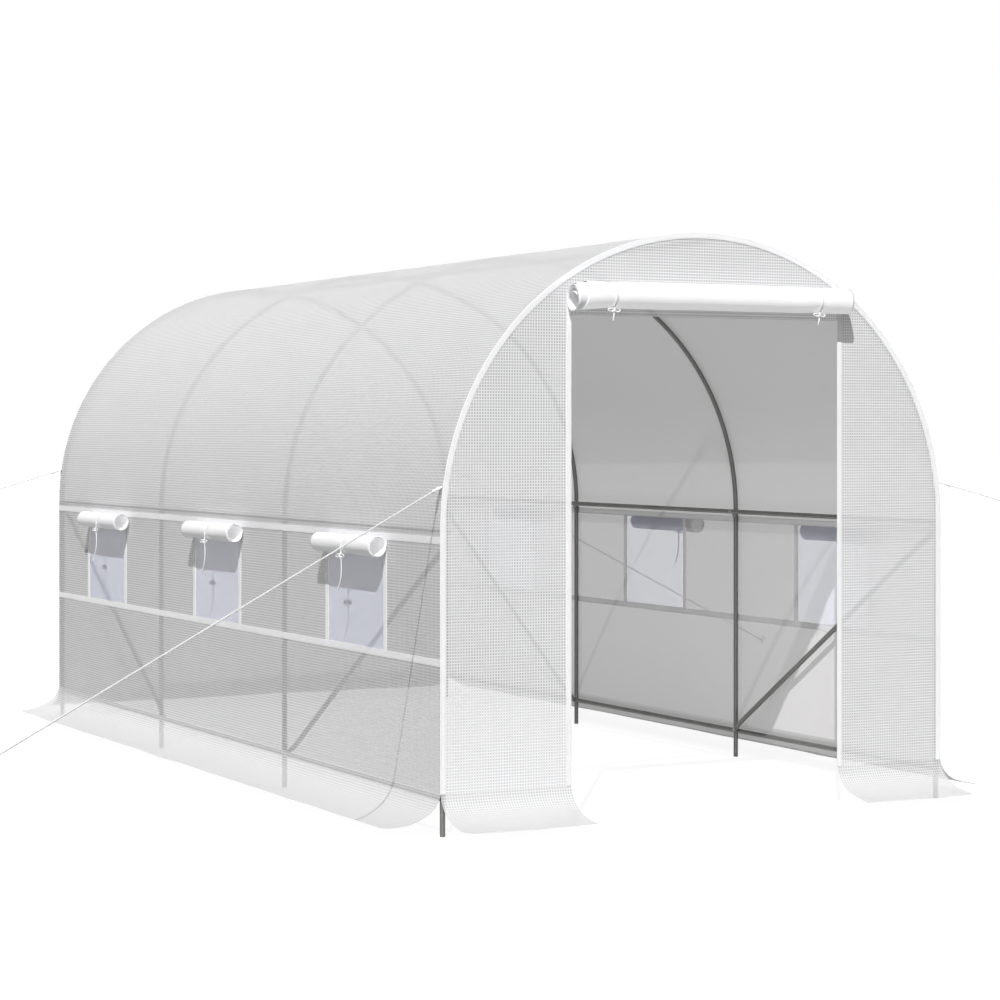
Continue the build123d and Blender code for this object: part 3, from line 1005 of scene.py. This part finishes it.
class GREENHOUSE_OT_fastenings(bpy.types.Operator):
    """Add the sleeves and bolts that hold the frame together"""

    bl_idname = "greenhouse.fastenings"
    bl_label = "Sleeves and bolts"
    bolt_inset = (0.010, 0.006)  # along the tunnel and upwards, from the end of a brace

    def execute(self, context):
        steel = look("steel")
        half = steel.collar_length / 2
        bm = bmesh.new()
        for sign in SIDES.values():
            for line in HOOP_LINES:
                foot, top = (sign * LEG_LINE, line, EAVE - half), (sign * LEG_LINE, line, EAVE)
                add_tube(bm, foot, top, TUBE_RADIUS + steel.collar_wall)
        finish_piece("leg_sleeves", bm, steel_material())
        bm = bmesh.new()
        for side, sign in SIDES.items():
            inward = Vector((-sign, 0, 0))
            for line in HOOP_LINES:
                leg, purlin = (sign * (centre - TUBE_RADIUS) for centre in (LEG_LINE, PURLIN_LINE))
                self.add_bolt(bm, Vector((leg, line, EAVE - half * 0.55)), inward)
                self.add_bolt(bm, Vector((purlin, line, PURLIN_HEIGHT)), inward)
            for head, foot in END_BAYS.values():
                way = 1 if foot > head else -1
                tab = sign * (PURLIN_LINE + TUBE_RADIUS - steel.tab_size[0])
                low, high = RAIL_HEIGHTS[side], brace_head(side)
                along, up = self.bolt_inset
                self.add_bolt(bm, Vector((tab, foot - way * along, low + up)), inward)
                self.add_bolt(bm, Vector((tab, head + way * along, high - up)), inward)
        for line in HOOP_LINES:
            self.add_bolt(bm, Vector((0, line, middle("ridge_purlin", 2) - TUBE_RADIUS)), -UP)
        finish_piece("frame_bolts", bm, zinc_material())
        return {"FINISHED"}

    @staticmethod
    def add_bolt(bm, seat, way):
        """A bolt with a washer, a six-sided head and a rounded crown."""
        width = look("steel").bolt_head
        add_tube(bm, seat - way * 0.002, seat + way * 0.001, width * 0.75, 20)
        add_tube(bm, seat + way * 0.001, seat + way * 0.005, width * 0.56, 6)
        add_tube(bm, seat + way * 0.005, seat + way * 0.0065, width * 0.36, 12)


class GREENHOUSE_OT_side_walls(bpy.types.Operator):
    """Hang the film of the side walls, with their window openings"""

    bl_idname = "greenhouse.side_walls"
    bl_label = "Side walls"

    def execute(self, context):
        for side, sign in SIDES.items():
            low, high = (FRONT_FACE, SKIRT_TOP), (REAR_FACE, EAVE)
            bm = flat_sheet(low, high, 0.045)
            for line in WINDOW_LINES:
                cut_hole(bm, (line - WINDOW_HALF, WINDOW_SILL), (line + WINDOW_HALF, WINDOW_HEAD))
            shape_sheet(bm, lambda u, v: Vector((sign * (HALF_WIDTH - wall_slack(u, v)), u, v)))
            # The wall film is a copy of the end film, darkened by painted shade
            film = film_material("wall film", look("film").wall_painted_shade)
            wall = finish_piece(f"{side}_wall_film", bm, film, [f"{side}_wall"])
        return {"FINISHED"}


class GREENHOUSE_OT_roof(bpy.types.Operator):
    """Stretch the roof film over the hoops"""

    bl_idname = "greenhouse.roof"
    bl_label = "Roof"

    def execute(self, context):
        arc = pi * HALF_WIDTH
        bm = flat_sheet((FRONT_FACE, 0), (REAR_FACE, arc), arc / ROOF_STEPS)
        shape_sheet(bm, self.place)
        strips = [f"roof_{number}" for number in range(1, 7)]
        # The roof film is a copy of the end film, darkened a little by painted shade
        film = film_material("roof film", look("film").roof_painted_shade, cover=1.06)
        roof = finish_piece("roof_film", bm, film, strips)
        return {"FINISHED"}

    @staticmethod
    def place(along, arc):
        """A point of the roof, from its place along the tunnel and round it."""
        turn = arc / HALF_WIDTH
        wave = 0.7 + 0.3 * noise.noise(Vector((along * 1.3, arc * 1.6, 0)))
        # The ridge purlin and the eaves hold the film up
        loose = min(1.0, abs(turn - pi / 2) * 4) * abs(sin(turn))
        radius = HALF_WIDTH - 2.2 * look("film").sag * between_hoops(along) * wave * loose
        return Vector((radius * cos(turn), along, EAVE + radius * sin(turn)))


class GREENHOUSE_OT_end_walls(bpy.types.Operator):
    """Hang the film of the two ends, the front one open at the doorway"""

    bl_idname = "greenhouse.end_walls"
    bl_label = "End walls"
    lip = 0.050  # film that hangs below the seam of the door
    nodes = {"front": ["front_left_panel", "front_right_panel", "front_gable"], "rear": ["rear_wall"]}

    def execute(self, context):
        for end, way in ENDS.items():
            face = FRONT_FACE if end == "front" else REAR_FACE
            bm = flat_sheet((-HALF_WIDTH, SKIRT_TOP), (HALF_WIDTH, RIDGE), 0.05)
            for step in range(ROOF_STEPS):
                turn = pi * (step + 0.5) / ROOF_STEPS
                normal = Vector((cos(turn), sin(turn)))
                edge = Vector((0, EAVE)) + normal * HALF_WIDTH * cos(pi / 2 / ROOF_STEPS)
                slit(bm, edge, normal, clear=True)
            if end == "front":
                cut_hole(bm, (DOOR_LEFT, 0), (DOOR_RIGHT, DOOR_HEAD - self.lip))
            shape_sheet(bm, lambda u, v: Vector((u, face - way * self.slack(u, v), v)))
            sheet = finish_piece(f"{end}_end_film", bm, film_material(), self.nodes[end])
            area = 2 * HALF_WIDTH * (EAVE - SKIRT_TOP) + pi * HALF_WIDTH ** 2 / 2
            if end == "front":
                area -= (DOOR_RIGHT - DOOR_LEFT) * (DOOR_HEAD - SKIRT_TOP)
        return {"FINISHED"}

    @staticmethod
    def slack(across, height):
        """How far the film stands in from its seam line."""
        if height > EAVE:
            edge = HALF_WIDTH - hypot(across, height - EAVE)
        else:
            edge = HALF_WIDTH - abs(across)
        wave = 0.5 + 0.5 * noise.noise(Vector((across * 2.1, height * 1.9, 9.0)))
        return 0.0025 * wave * min(1.0, max(0.0, edge) * 5) * min(1.0, (height - SKIRT_TOP) * 5)


class GREENHOUSE_OT_skirts(bpy.types.Operator):
    """Spread the skirts at the foot of the cover"""

    bl_idname = "greenhouse.skirts"
    bl_label = "Skirts"
    thickness = 0.003

    def execute(self, context):
        self.profile = self.bend()
        self.depth = self.profile[-1][0]
        front, rear, plain = FRONT_FACE, REAR_FACE, ("plain", 0.0)
        # Each skirt: its start and end along the wall, the way it faces, the wall's place, its ends' forms
        skirts = {
            "left_skirt": (front, rear, (-1, 0), HALF_WIDTH, ("round", 0.085), plain),
            "right_skirt": (front, rear, (1, 0), HALF_WIDTH, plain, plain),
            "front_left_skirt": (-HALF_WIDTH, DOOR_LEFT, (0, -1), -front, ("round", 0.050), plain),
            "front_right_skirt": (DOOR_RIGHT, HALF_WIDTH, (0, -1), -front, plain, ("flare", 0.008)),
            "rear_skirt": (-HALF_WIDTH, HALF_WIDTH, (0, 1), rear, plain, plain),
        }
        for node, (start, stop, way, wall, *ends) in skirts.items():
            bm = flat_sheet((start, -self.depth), (stop, 0), 0.024)
            for (kind, size), edge, inward in zip(ends, (start, stop), (1, -1)):
                if kind == "round":
                    round_corner(bm, (edge, -self.depth), (inward, 1), size)
            shape_sheet(
                bm, lambda u, v: self.place(u, -v, start, stop, way, wall, ends), inside=Vector((0, 0, -9)),
            )
            # The skirt film is a copy of the end film, darkened by painted shade
            film = film_material("skirt film", look("film").skirt_painted_shade, fades=True)
            sheet = finish_piece(f"{node}_film", bm, film, [node])
        return {"FINISHED"}

    def bend(self, steps=48):
        """The fall of a skirt, steep at the wall and flat at its hem: rows of (down, out, height)."""
        low, top = SKIRT_HEM + self.thickness, SKIRT_TOP
        pull = (0.07 * SKIRT_REACH, low + 0.12 * (top - low))
        rows = []
        for step in range(steps + 1):
            t = step / steps
            out = 2 * t * (1 - t) * pull[0] + t * t * SKIRT_REACH
            height = (1 - t) ** 2 * top + 2 * t * (1 - t) * pull[1] + t * t * low
            length = rows[-1][0] + hypot(out - rows[-1][1], height - rows[-1][2]) if rows else 0.0
            rows.append((length, out, height))
        return rows

    def place(self, along, down, start, stop, way, wall, ends):
        """A point of a skirt, from its place along the wall and down the film."""
        share = min(1.0, down / self.depth)
        first, last = next(
            pair for pair in zip(self.profile, self.profile[1:]) if down <= pair[1][0] + 1e-6
        )
        part = (down - first[0]) / (last[0] - first[0])
        out, height = (a + part * (b - a) for a, b in zip(first[1:], last[1:]))
        ripple = noise.noise(Vector((along * 3.1, wall * 7 + way[0], down * 4)))
        height += 0.006 * ripple * share**2
        spread = 0.0
        for (kind, size), edge, side in zip(ends, (start, stop), (-1, 1)):
            if kind == "flare":
                near = max(0.0, 1 - abs(along - edge) / 0.45)
                spread += side * size * share**1.6 * near**1.5
        place = (wall + out + 0.004 * ripple * share) * Vector((*way, 0))
        return place + (along + spread) * Vector((abs(way[1]), abs(way[0]), 0)) + UP * height


class GREENHOUSE_OT_wall_tapes(bpy.types.Operator):
    """Sew the tapes on the side walls"""

    bl_idname = "greenhouse.wall_tapes"
    bl_label = "Wall tapes"
    sewn_through = 0.0006  # how far a tape shows on the film's inside
    end_gap = 0.002

    def execute(self, context):
        trim = look("trim")
        for side, sign in SIDES.items():
            bm = bmesh.new()
            along = Vector((0, sign, 0))
            thick = trim.thickness + self.sewn_through
            out = HALF_WIDTH - self.sewn_through + thick / 2
            length = REAR_FACE - FRONT_FACE - 2 * self.end_gap
            for height in (WINDOW_SILL - trim.band_width / 2, WINDOW_HEAD + trim.band_width / 2):
                add_band(bm, (sign * out, 0, height), along, UP, length, trim.band_width, thick)
            for line in WINDOW_LINES:
                for way in (-1, 1):
                    beside = line + way * (WINDOW_HALF + trim.frame_width / 2)
                    add_band(
                        bm, (sign * out, beside, (WINDOW_SILL + WINDOW_HEAD) / 2), UP, -along,
                        WINDOW_HEAD - WINDOW_SILL, trim.frame_width, thick * 0.9,
                    )
            for vert in bm.verts:
                vert.co.x -= sign * wall_slack(vert.co.y, vert.co.z)
            finish_piece(
                f"{side}_wall_tapes", bm, tape_material(), [f"{side}_wall"], sharp=radians(20),
            )
        return {"FINISHED"}


class GREENHOUSE_OT_bindings(bpy.types.Operator):
    """Bind the edges of the two ends and hem the doorway"""

    bl_idname = "greenhouse.bindings"
    bl_label = "Bindings and hems"

    def execute(self, context):
        trim = look("trim")
        for end, way in ENDS.items():
            face = FRONT_FACE if end == "front" else REAR_FACE
            bm = bmesh.new()
            self.add_arch(bm, face, way, trim)
            narrow = tape_material("binding tape", trim.binding_width)
            finish_piece(f"{end}_binding", bm, narrow)
        bm = bmesh.new()
        for edge, way in ((DOOR_LEFT, -1), (DOOR_RIGHT, 1)):
            line = edge + way * trim.hem_width / 2
            # One band outside the film and one inside it
            for face, across in ((FRONT_FACE - trim.thickness / 2, -1), (FRONT_FACE + trim.thickness, 1)):
                add_band(
                    bm, (line, face, (SKIRT_TOP + DOOR_HEAD) / 2), UP, Vector((across, 0, 0)),
                    DOOR_HEAD - SKIRT_TOP, trim.hem_width, trim.thickness,
                )
        narrow = tape_material("binding tape", trim.binding_width)
        finish_piece("door_hems", bm, narrow, sharp=radians(20))
        return {"FINISHED"}

    @staticmethod
    def add_arch(bm, face, way, trim):
        """An L-shaped binding swept up one side, over the arch and down the other."""
        wide, wrap, thick = trim.binding_width, trim.binding_width * 0.15, trim.thickness
        # The section: (outwards from the arch, along the tunnel away from the end)
        section = [
            (-wide, 0), (-wide, -thick), (thick * 0.4, -thick), (thick, -thick * 0.4), (thick, wrap),
            (0, wrap), (0, 0),
        ]
        start = Vector((HALF_WIDTH, face, SKIRT_TOP))
        verts = [bm.verts.new(start + Vector((out, -way * back, 0))) for out, back in section]
        edges = [bm.edges.new((a, b)) for a, b in zip(verts, verts[1:] + verts[:1])]
        verts, edges = draw_out(bm, edges, EAVE - SKIRT_TOP, steps=20)
        made = bmesh.ops.spin(
            bm, geom=verts + edges, cent=(0, face, EAVE), axis=(0, -1, 0), angle=pi, steps=ROOF_STEPS,
        )
        draw_out(bm, new_ring(made["geom_last"])[1], SKIRT_TOP - EAVE, steps=20)
        bmesh.ops.holes_fill(bm, edges=bm.edges[:])
        bmesh.ops.recalc_face_normals(bm, faces=bm.faces)
        layer = bm.loops.layers.uv.verify()
        for corner in (loop for item in bm.faces for loop in item.loops):
            place = corner.vert.co
            if place.z > EAVE:
                along = HALF_WIDTH * atan2(place.z - EAVE, place.x)
                across = HALF_WIDTH - hypot(place.x, place.z - EAVE)
            else:
                along = place.z - EAVE if place.x > 0 else pi * HALF_WIDTH + EAVE - place.z
                across = HALF_WIDTH - abs(place.x)
            back = -way * (place.y - face)
            corner[layer].uv = (along, across - wide / 2 if across > 0 else -wide / 2 - max(0.0, back))


class GREENHOUSE_OT_window_meshes(bpy.types.Operator):
    """Set the insect mesh in the windows"""

    bl_idname = "greenhouse.window_meshes"
    bl_label = "Window meshes"

    def execute(self, context):
        for side, sign in SIDES.items():
            for number, line in enumerate(WINDOW_LINES, start=1):
                bm = flat_sheet((line - WINDOW_HALF, WINDOW_SILL), (line + WINDOW_HALF, WINDOW_HEAD), 0.03)
                shape_sheet(bm, lambda u, v: self.place(sign, u, v))
                mesh = finish_piece(
                    f"{side}_mesh_{number}", bm, mesh_material(), [f"{side}_window_meshes"],
                )
        return {"FINISHED"}

    @staticmethod
    def place(sign, along, height):
        """A point of a mesh, which hangs a little inside the film."""
        belly = 0.0015 + 0.001 * noise.noise(Vector((along * 4, height * 5, sign)))
        return Vector((sign * (HALF_WIDTH - wall_slack(along, height) - belly), along, height))


class RolledSheet:
    """A sheet that is sewn on at its top and rolled up towards it."""

    def __init__(self, origin, out, along, lead, radius, pitch, flat):
        self.origin, self.out, self.along = Vector(origin), Vector(out), Vector(along)
        self.lead, self.radius, self.pitch, self.flat = lead, radius, pitch, flat

    def turn_at(self, distance):
        """The angle that the spiral has turned through after a distance."""
        rate = self.pitch / tau
        return (self.radius - sqrt(max(0.0, self.radius**2 - 2 * rate * distance))) / rate

    def point(self, along, down, squeeze=0.0, grow=0.0, sink=0.0):
        """A point of the sheet: squeeze narrows the roll, grow loosens it, sink drops its inner turns."""
        reach = self.lead - self.radius
        if down <= reach:
            return self.origin + self.along * along + self.out * down
        turn = self.turn_at(down - reach) - pi / 2
        inner = max(0.0, turn) / tau
        radius = (self.radius - self.pitch * inner) * (1 + grow / (1 + inner)) - squeeze
        radius += 0.0009 * noise.noise(Vector((along * 6 + self.origin.y, turn * 0.8, self.origin.x)))
        drop = self.radius * grow + sink * inner
        centre = self.origin + self.out * self.lead + self.along * along - UP * drop
        return centre + self.out * radius * sin(turn) + UP * radius * cos(turn)

    def build(self, length, cell, shape):
        """The sheet, with its along direction centred on the origin."""
        bm = flat_sheet((-length / 2, 0), (length / 2, self.flat), cell)
        lay_flat_map(bm)
        for vert in bm.verts:
            vert.co = shape(vert.co.x, vert.co.y)
        return bm


class GREENHOUSE_OT_window_flaps(bpy.types.Operator):
    """Roll up the flaps over the windows"""

    bl_idname = "greenhouse.window_flaps"
    bl_label = "Window flaps"

    def execute(self, context):
        rolls = look("rolls")
        # Painted glow: faint on the outer turn, stronger on the inner turns
        film = rolled_material("rolled flap", 0.2, 0.12, (0.01, 0.01), (0.0, 1.0))
        for side, sign in SIDES.items():
            low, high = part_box(f"{side}_window_flaps")
            radius = (high.z - low.z) / 2
            lead = max(abs(low.x), abs(high.x)) - radius - HALF_WIDTH
            for number, line in enumerate(FLAP_LINES, start=1):
                roll = RolledSheet(
                    (sign * HALF_WIDTH, line, (low.z + high.z) / 2), (sign, 0, 0), (0, 1, 0), lead,
                    radius - rolls.film_thickness / 2, rolls.flap_pitch, rolls.flap_drop,
                )

                def shape(along, down):
                    inner = max(0.0, down - lead) / rolls.flap_drop
                    squeeze = 0.0022 * exp(-(((along - TIE_SHIFT) / 0.022) ** 2))
                    slide = 0.004 * inner * noise.noise(Vector((line, sign, 2.0)))
                    end = max(0.0, abs(along) / FLAP_LENGTH * 2 - 0.8) * 5
                    return roll.point(along + slide, down, squeeze, 0.012 * end * inner, 0.0006 * end)

                bm = roll.build(FLAP_LENGTH, 0.0065, shape)
                flap = finish_piece(
                    f"{side}_flap_{number}", bm, film, [f"{side}_window_flaps"],
                )
                flap.data.shade_smooth()
                thicken(flap, rolls.film_thickness)
        return {"FINISHED"}


def thicken(piece, thickness):
    """Give a sheet its thickness."""
    made = piece.modifiers.new("thickness", "SOLIDIFY")
    made.thickness = thickness
    made.offset = 0.0


class GREENHOUSE_OT_door_roll(bpy.types.Operator):
    """Roll up the door over the doorway"""

    bl_idname = "greenhouse.door_roll"
    bl_label = "Door roll"
    loose = 0.13  # length of the left end that has come loose

    def execute(self, context):
        rolls = look("rolls")
        low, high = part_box("door_roll")
        radius = (high.z - low.z) / 2
        lead = FRONT_FACE - (low.y + radius)
        length = high.x - low.x
        roll = RolledSheet(
            ((low.x + high.x) / 2, FRONT_FACE, (low.z + high.z) / 2), (0, -1, 0), (1, 0, 0), lead,
            radius - rolls.film_thickness / 2, rolls.door_pitch, rolls.door_drop,
        )
        ties = [place - (low.x + high.x) / 2 for place in DOOR_TIES]

        def shape(along, down):
            squeeze = sum(0.003 * exp(-(((along - tie) / 0.03) ** 2)) for tie in ties)
            left = max(0.0, 1 - (along + length / 2) / self.loose) ** 1.5
            # The outer turn stops short at the left, and the last of the door hangs a little
            slide = 0.055 * left * max(0.0, 1 - down / 0.40)
            hang = 0.012 * left * max(0.0, down / rolls.door_drop - 0.88) / 0.12
            return roll.point(along + slide, down, squeeze, 0.08 * left, 0.004 * left) - UP * hang

        bm = roll.build(length, 0.0085, shape)
        # Painted glow on the outer turn: strongest low on the roll and none at its top, with a little on
        # the inner turns
        heights = (low.z + 0.2 * radius, high.z - 0.2 * radius)
        film = rolled_material("rolled door", 0.28, 0.04, (0.30, 0.0), heights)
        door = finish_piece("door_sheet", bm, film, ["door_roll"])
        door.data.shade_smooth()
        thicken(door, rolls.film_thickness)
        return {"FINISHED"}


def add_tie_ring(bm, centre, axis, radius):
    """A flat tape once round a roll."""
    width, thickness = look("ropes").tie_width, look("ropes").tie_thickness
    centre, axis = Vector(centre), Vector(axis)
    start = centre + UP * radius
    corners = [(0, -width / 2), (0, width / 2), (thickness, width / 2), (thickness, -width / 2)]
    verts = [bm.verts.new(start + UP * up + axis * side) for up, side in corners]
    edges = [bm.edges.new((a, b)) for a, b in zip(verts, verts[1:] + verts[:1])]
    bmesh.ops.spin(bm, geom=verts + edges, cent=centre, axis=axis, angle=tau, steps=48, use_merge=True)


def add_bow(bm, knot, axis, out, span, radius):
    """A bow: two flat loops beside a knot of two turns."""
    knot, axis, out = Vector(knot), Vector(axis), Vector(out)
    for way in (-1, 1):
        tip = knot + axis * way * span / 2 + out * 0.004 - UP * 0.001 * way
        route = [
            knot, knot + axis * way * span * 0.22 + UP * 0.006 + out * 0.004, tip + UP * 0.003,
            tip - UP * 0.003, knot + axis * way * span * 0.2 - UP * 0.006 + out * 0.002,
        ]
        add_cord(bm, route, radius, cyclic=True)
    for lift, tilt in ((0.0, 0.5), (0.002, -0.5)):
        ring = []
        for step in range(6):
            turn = tau * step / 6
            ring.append(
                knot + out * (0.003 + 0.0045 * cos(turn)) + UP * (0.0055 * sin(turn) + lift)
                + axis * 0.002 * tilt * sin(turn)
            )
        add_cord(bm, ring, radius * 1.1, cyclic=True)


class GREENHOUSE_OT_window_ties(bpy.types.Operator):
    """Tie up the window flaps, each with a bow and a hanging end"""

    bl_idname = "greenhouse.window_ties"
    bl_label = "Window ties"
    bow_size = (0.068, 0.0019)  # span, and radius of the cord
    ring_inset = 0.0026

    # The route of a hanging end: outwards, along the wall and down from the tie
    tail_route = [
        (0.0, 0.0, 0.003),
        (0.0, 0.0, -0.038),
        (-0.0015, -0.002, -0.082),
        (0.0, 0.001, -0.126),
        (0.003, 0.033, -0.172),
    ]

    def execute(self, context):
        ropes = look("ropes")
        for side, sign in SIDES.items():
            low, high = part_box(f"{side}_window_ties")
            outside = (high.z - low.z) / 2
            centre_out = max(abs(low.x), abs(high.x)) - outside
            height = (low.z + high.z) / 2
            tail_out = centre_out + outside + 0.0003 + ropes.tail_diameter / 2
            for number, line in enumerate(FLAP_LINES, start=1):
                line += TIE_SHIFT
                centre = Vector((sign * centre_out, line, height))
                bm = bmesh.new()
                add_tie_ring(bm, centre, (0, 1, 0), outside - self.ring_inset)
                knot = Vector((sign * tail_out, line, height - 0.037))
                add_bow(bm, knot, (0, 1, 0), (sign, 0, 0), *self.bow_size)
                bmesh.ops.recalc_face_normals(bm, faces=bm.faces)
                tie = finish_piece(
                    f"{side}_tie_{number}", bm, rope_material(), [f"{side}_window_ties"],
                )
                route = [
                    Vector((sign * (tail_out + out), line + along, height + down))
                    for out, along, down in self.tail_route
                ]
                curve = cord_points(route)
                curve.name = f"{side}_tail_{number}"
                curve.bevel_depth = ropes.tail_diameter / 2
                curve.bevel_resolution = 3
                curve.use_fill_caps = True
                curve.materials.append(rope_material())
                tail = bpy.data.objects.new(f"{side}_tail_{number}", curve)
                context.scene.collection.objects.link(tail)
                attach(tail, "root")
                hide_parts(f"{side}_tie_tail_{number}")
        return {"FINISHED"}


class GREENHOUSE_OT_door_ties(bpy.types.Operator):
    """Tie up the door with two bows"""

    bl_idname = "greenhouse.door_ties"
    bl_label = "Door ties"
    bow_size = (0.046, 0.0026)  # span, and radius of the cord
    ring_inset = 0.0034

    # The route of the short end that hangs from the knot
    short_end = [
        (0, 0, 0), (0.001, -0.003, -0.012), (-0.003, -0.003, -0.024), (-0.002, -0.001, -0.034),
    ]

    def execute(self, context):
        low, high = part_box("door_ties")
        outside = (high.z - low.z) / 2
        centre_line = low.y + outside
        for number, place in enumerate(DOOR_TIES, start=1):
            centre = Vector((place, centre_line, (low.z + high.z) / 2))
            bm = bmesh.new()
            add_tie_ring(bm, centre, (1, 0, 0), outside - self.ring_inset)
            knot = Vector((place, centre_line - outside * 0.35, centre.z - outside * 0.98 - 0.004))
            add_bow(bm, knot, (1, 0, 0), (0, -1, 0), *self.bow_size)
            add_cord(bm, [knot + Vector(step) for step in self.short_end], self.bow_size[1])
            bmesh.ops.recalc_face_normals(bm, faces=bm.faces)
            finish_piece(f"door_tie_{number}", bm, rope_material(), ["door_ties"])
        return {"FINISHED"}


class GREENHOUSE_OT_guy_ropes(bpy.types.Operator):
    """Run the guy ropes from the end hoops to the pegs"""

    bl_idname = "greenhouse.guy_ropes"
    bl_label = "Guy ropes"
    radius = 0.003
    knot_radius = 0.0022

    def execute(self, context):
        for end, end_sign in ENDS.items():
            for side, sign in SIDES.items():
                node = f"{end}_{side}_rope"
                low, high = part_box(node)
                inset = Vector((sign, end_sign, -1)) * self.radius * 0.6
                # The rope runs from the corner of its box that is nearest the hoop to the farthest one
                near = [b if way < 0 else a for a, b, way in zip(low, high, (sign, end_sign, -1))]
                far = [a if way < 0 else b for a, b, way in zip(low, high, (sign, end_sign, -1))]
                top, foot = Vector(near) + inset, Vector(far) - inset
                bm = bmesh.new()
                self.add_rope(bm, top, foot)
                self.add_knots(bm, top, foot)
                bmesh.ops.recalc_face_normals(bm, faces=bm.faces)
                finish_piece(f"{node}_line", bm, rope_material(), [node], sharp=radians(60))
        return {"FINISHED"}

    def add_rope(self, bm, top, foot):
        """Three twisted strands, as a lobed section that turns along the rope."""
        ropes = look("ropes")
        run = foot - top
        sides = ropes.rope_sides
        steps = ceil(run.length / ropes.rope_lay * 5)
        turn = run.to_track_quat("Z", "Y").to_matrix().to_4x4()
        ring = bmesh.ops.create_circle(
            bm, segments=sides, radius=self.radius, matrix=Matrix.Translation(top) @ turn,
        )["verts"]
        for number, vert in enumerate(ring):
            if number % 3 == 0:
                vert.co = top + (vert.co - top) * 0.72
        bmesh.ops.spin(
            bm, geom=ring + ring_edges(ring), cent=top, axis=run.normalized(), dvec=run / steps,
            angle=tau * run.length / ropes.rope_lay, steps=steps,
        )

    def add_knots(self, bm, top, foot):
        """A loop and knot at the hoop, and a loop round the peg."""
        heading = (foot - top).normalized()
        side = heading.cross(UP).normalized()
        # Each knot: its end of the rope, the way to the other end, and the width of its loop
        for place, way, size in ((top, 1, 0.014), (foot, -1, 0.013)):
            knot = place + heading * way * 0.045
            for lift in (-0.0035, 0.0035):
                ring = []
                for turn in (tau * step / 6 for step in range(6)):
                    lean = heading * (lift + 0.001 * sin(turn))
                    around = side * 0.005 * cos(turn) + heading.cross(side) * 0.005 * sin(turn)
                    ring.append(knot + lean + around)
                add_cord(bm, ring, self.knot_radius, cyclic=True)
            neck, wide = knot - heading * way * 0.022, side * size
            loop = [knot, neck + wide * 0.6, place + wide * 0.4, place - wide * 0.4, neck - wide * 0.6]
            add_cord(bm, loop, self.knot_radius, cyclic=True)


class GREENHOUSE_OT_pegs(bpy.types.Operator):
    """Drive in the hooked ground pegs"""

    bl_idname = "greenhouse.pegs"
    bl_label = "Ground pegs"
    radius = 0.0035
    hook = 0.009
    drop = 0.012

    def execute(self, context):
        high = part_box("ground_pegs")[1]
        across = high.x - self.radius - 2 * self.hook
        along = high.y - self.radius
        bend = high.z - self.radius - self.hook
        bm = bmesh.new()
        for sign in SIDES.values():
            for end_sign in ENDS.values():
                self.add_peg(bm, Vector((sign * across, end_sign * along, 0)), sign, bend)
        bmesh.ops.recalc_face_normals(bm, faces=bm.faces)
        finish_piece("peg_hooks", bm, zinc_material(), ["ground_pegs"])
        return {"FINISHED"}

    def add_peg(self, bm, foot, sign, bend):
        """A round bar, bent over into a hook at its top."""
        ring = bmesh.ops.create_circle(
            bm, segments=16, radius=self.radius, matrix=Matrix.Translation(foot),
        )["verts"]
        first = ring_edges(ring)
        verts, edges = draw_out(bm, first, bend)
        made = bmesh.ops.spin(
            bm, geom=verts + edges, cent=foot + Vector((sign * self.hook, 0, bend)), axis=(0, sign, 0),
            angle=pi, steps=16,
        )
        last = draw_out(bm, new_ring(made["geom_last"])[1], -self.drop)[1]
        bmesh.ops.holes_fill(bm, edges=first + last)


class GREENHOUSE_PT_pieces(bpy.types.Panel):
    """The pieces of the greenhouse and their sizes"""

    bl_idname = "GREENHOUSE_PT_pieces"
    bl_label = "Greenhouse"
    bl_space_type = "VIEW_3D"
    bl_region_type = "UI"
    bl_category = "Greenhouse"

    def draw(self, context):
        for operator in OPERATORS:
            self.layout.operator(operator.bl_idname)
        for name, settings in SETTINGS.items():
            box = self.layout.box()
            box.label(text=name.capitalize())
            for key in settings.__annotations__:
                box.prop(look(name), key)


SETTINGS = {
    "stage": StageSettings,
    "film": FilmSettings,
    "trim": TrimSettings,
    "rolls": RollSettings,
    "steel": SteelSettings,
    "ropes": RopeSettings,
}
OPERATORS = (
    GREENHOUSE_OT_stage,
    GREENHOUSE_OT_hoops,
    GREENHOUSE_OT_straight_tubes,
    GREENHOUSE_OT_braces,
    GREENHOUSE_OT_fastenings,
    GREENHOUSE_OT_side_walls,
    GREENHOUSE_OT_roof,
    GREENHOUSE_OT_end_walls,
    GREENHOUSE_OT_skirts,
    GREENHOUSE_OT_wall_tapes,
    GREENHOUSE_OT_bindings,
    GREENHOUSE_OT_window_meshes,
    GREENHOUSE_OT_window_flaps,
    GREENHOUSE_OT_door_roll,
    GREENHOUSE_OT_window_ties,
    GREENHOUSE_OT_door_ties,
    GREENHOUSE_OT_guy_ropes,
    GREENHOUSE_OT_pegs,
)


def register():
    """Register the settings, the operators and the panel."""
    for kind in (*SETTINGS.values(), *OPERATORS, GREENHOUSE_PT_pieces):
        bpy.utils.register_class(kind)
    for name, kind in SETTINGS.items():
        setattr(bpy.types.Scene, f"greenhouse_{name}", PointerProperty(type=kind))


def unregister():
    """Take away what register() added."""
    for name in SETTINGS:
        delattr(bpy.types.Scene, f"greenhouse_{name}")
    for kind in reversed((*SETTINGS.values(), *OPERATORS, GREENHOUSE_PT_pieces)):
        bpy.utils.unregister_class(kind)


def main():
    """Build every piece in order."""
    register()
    for operator in OPERATORS:
        module, name = operator.bl_idname.split(".")
        getattr(getattr(bpy.ops, module), name)()
    bpy.context.view_layer.update()


if __name__ == "__main__":
    main()
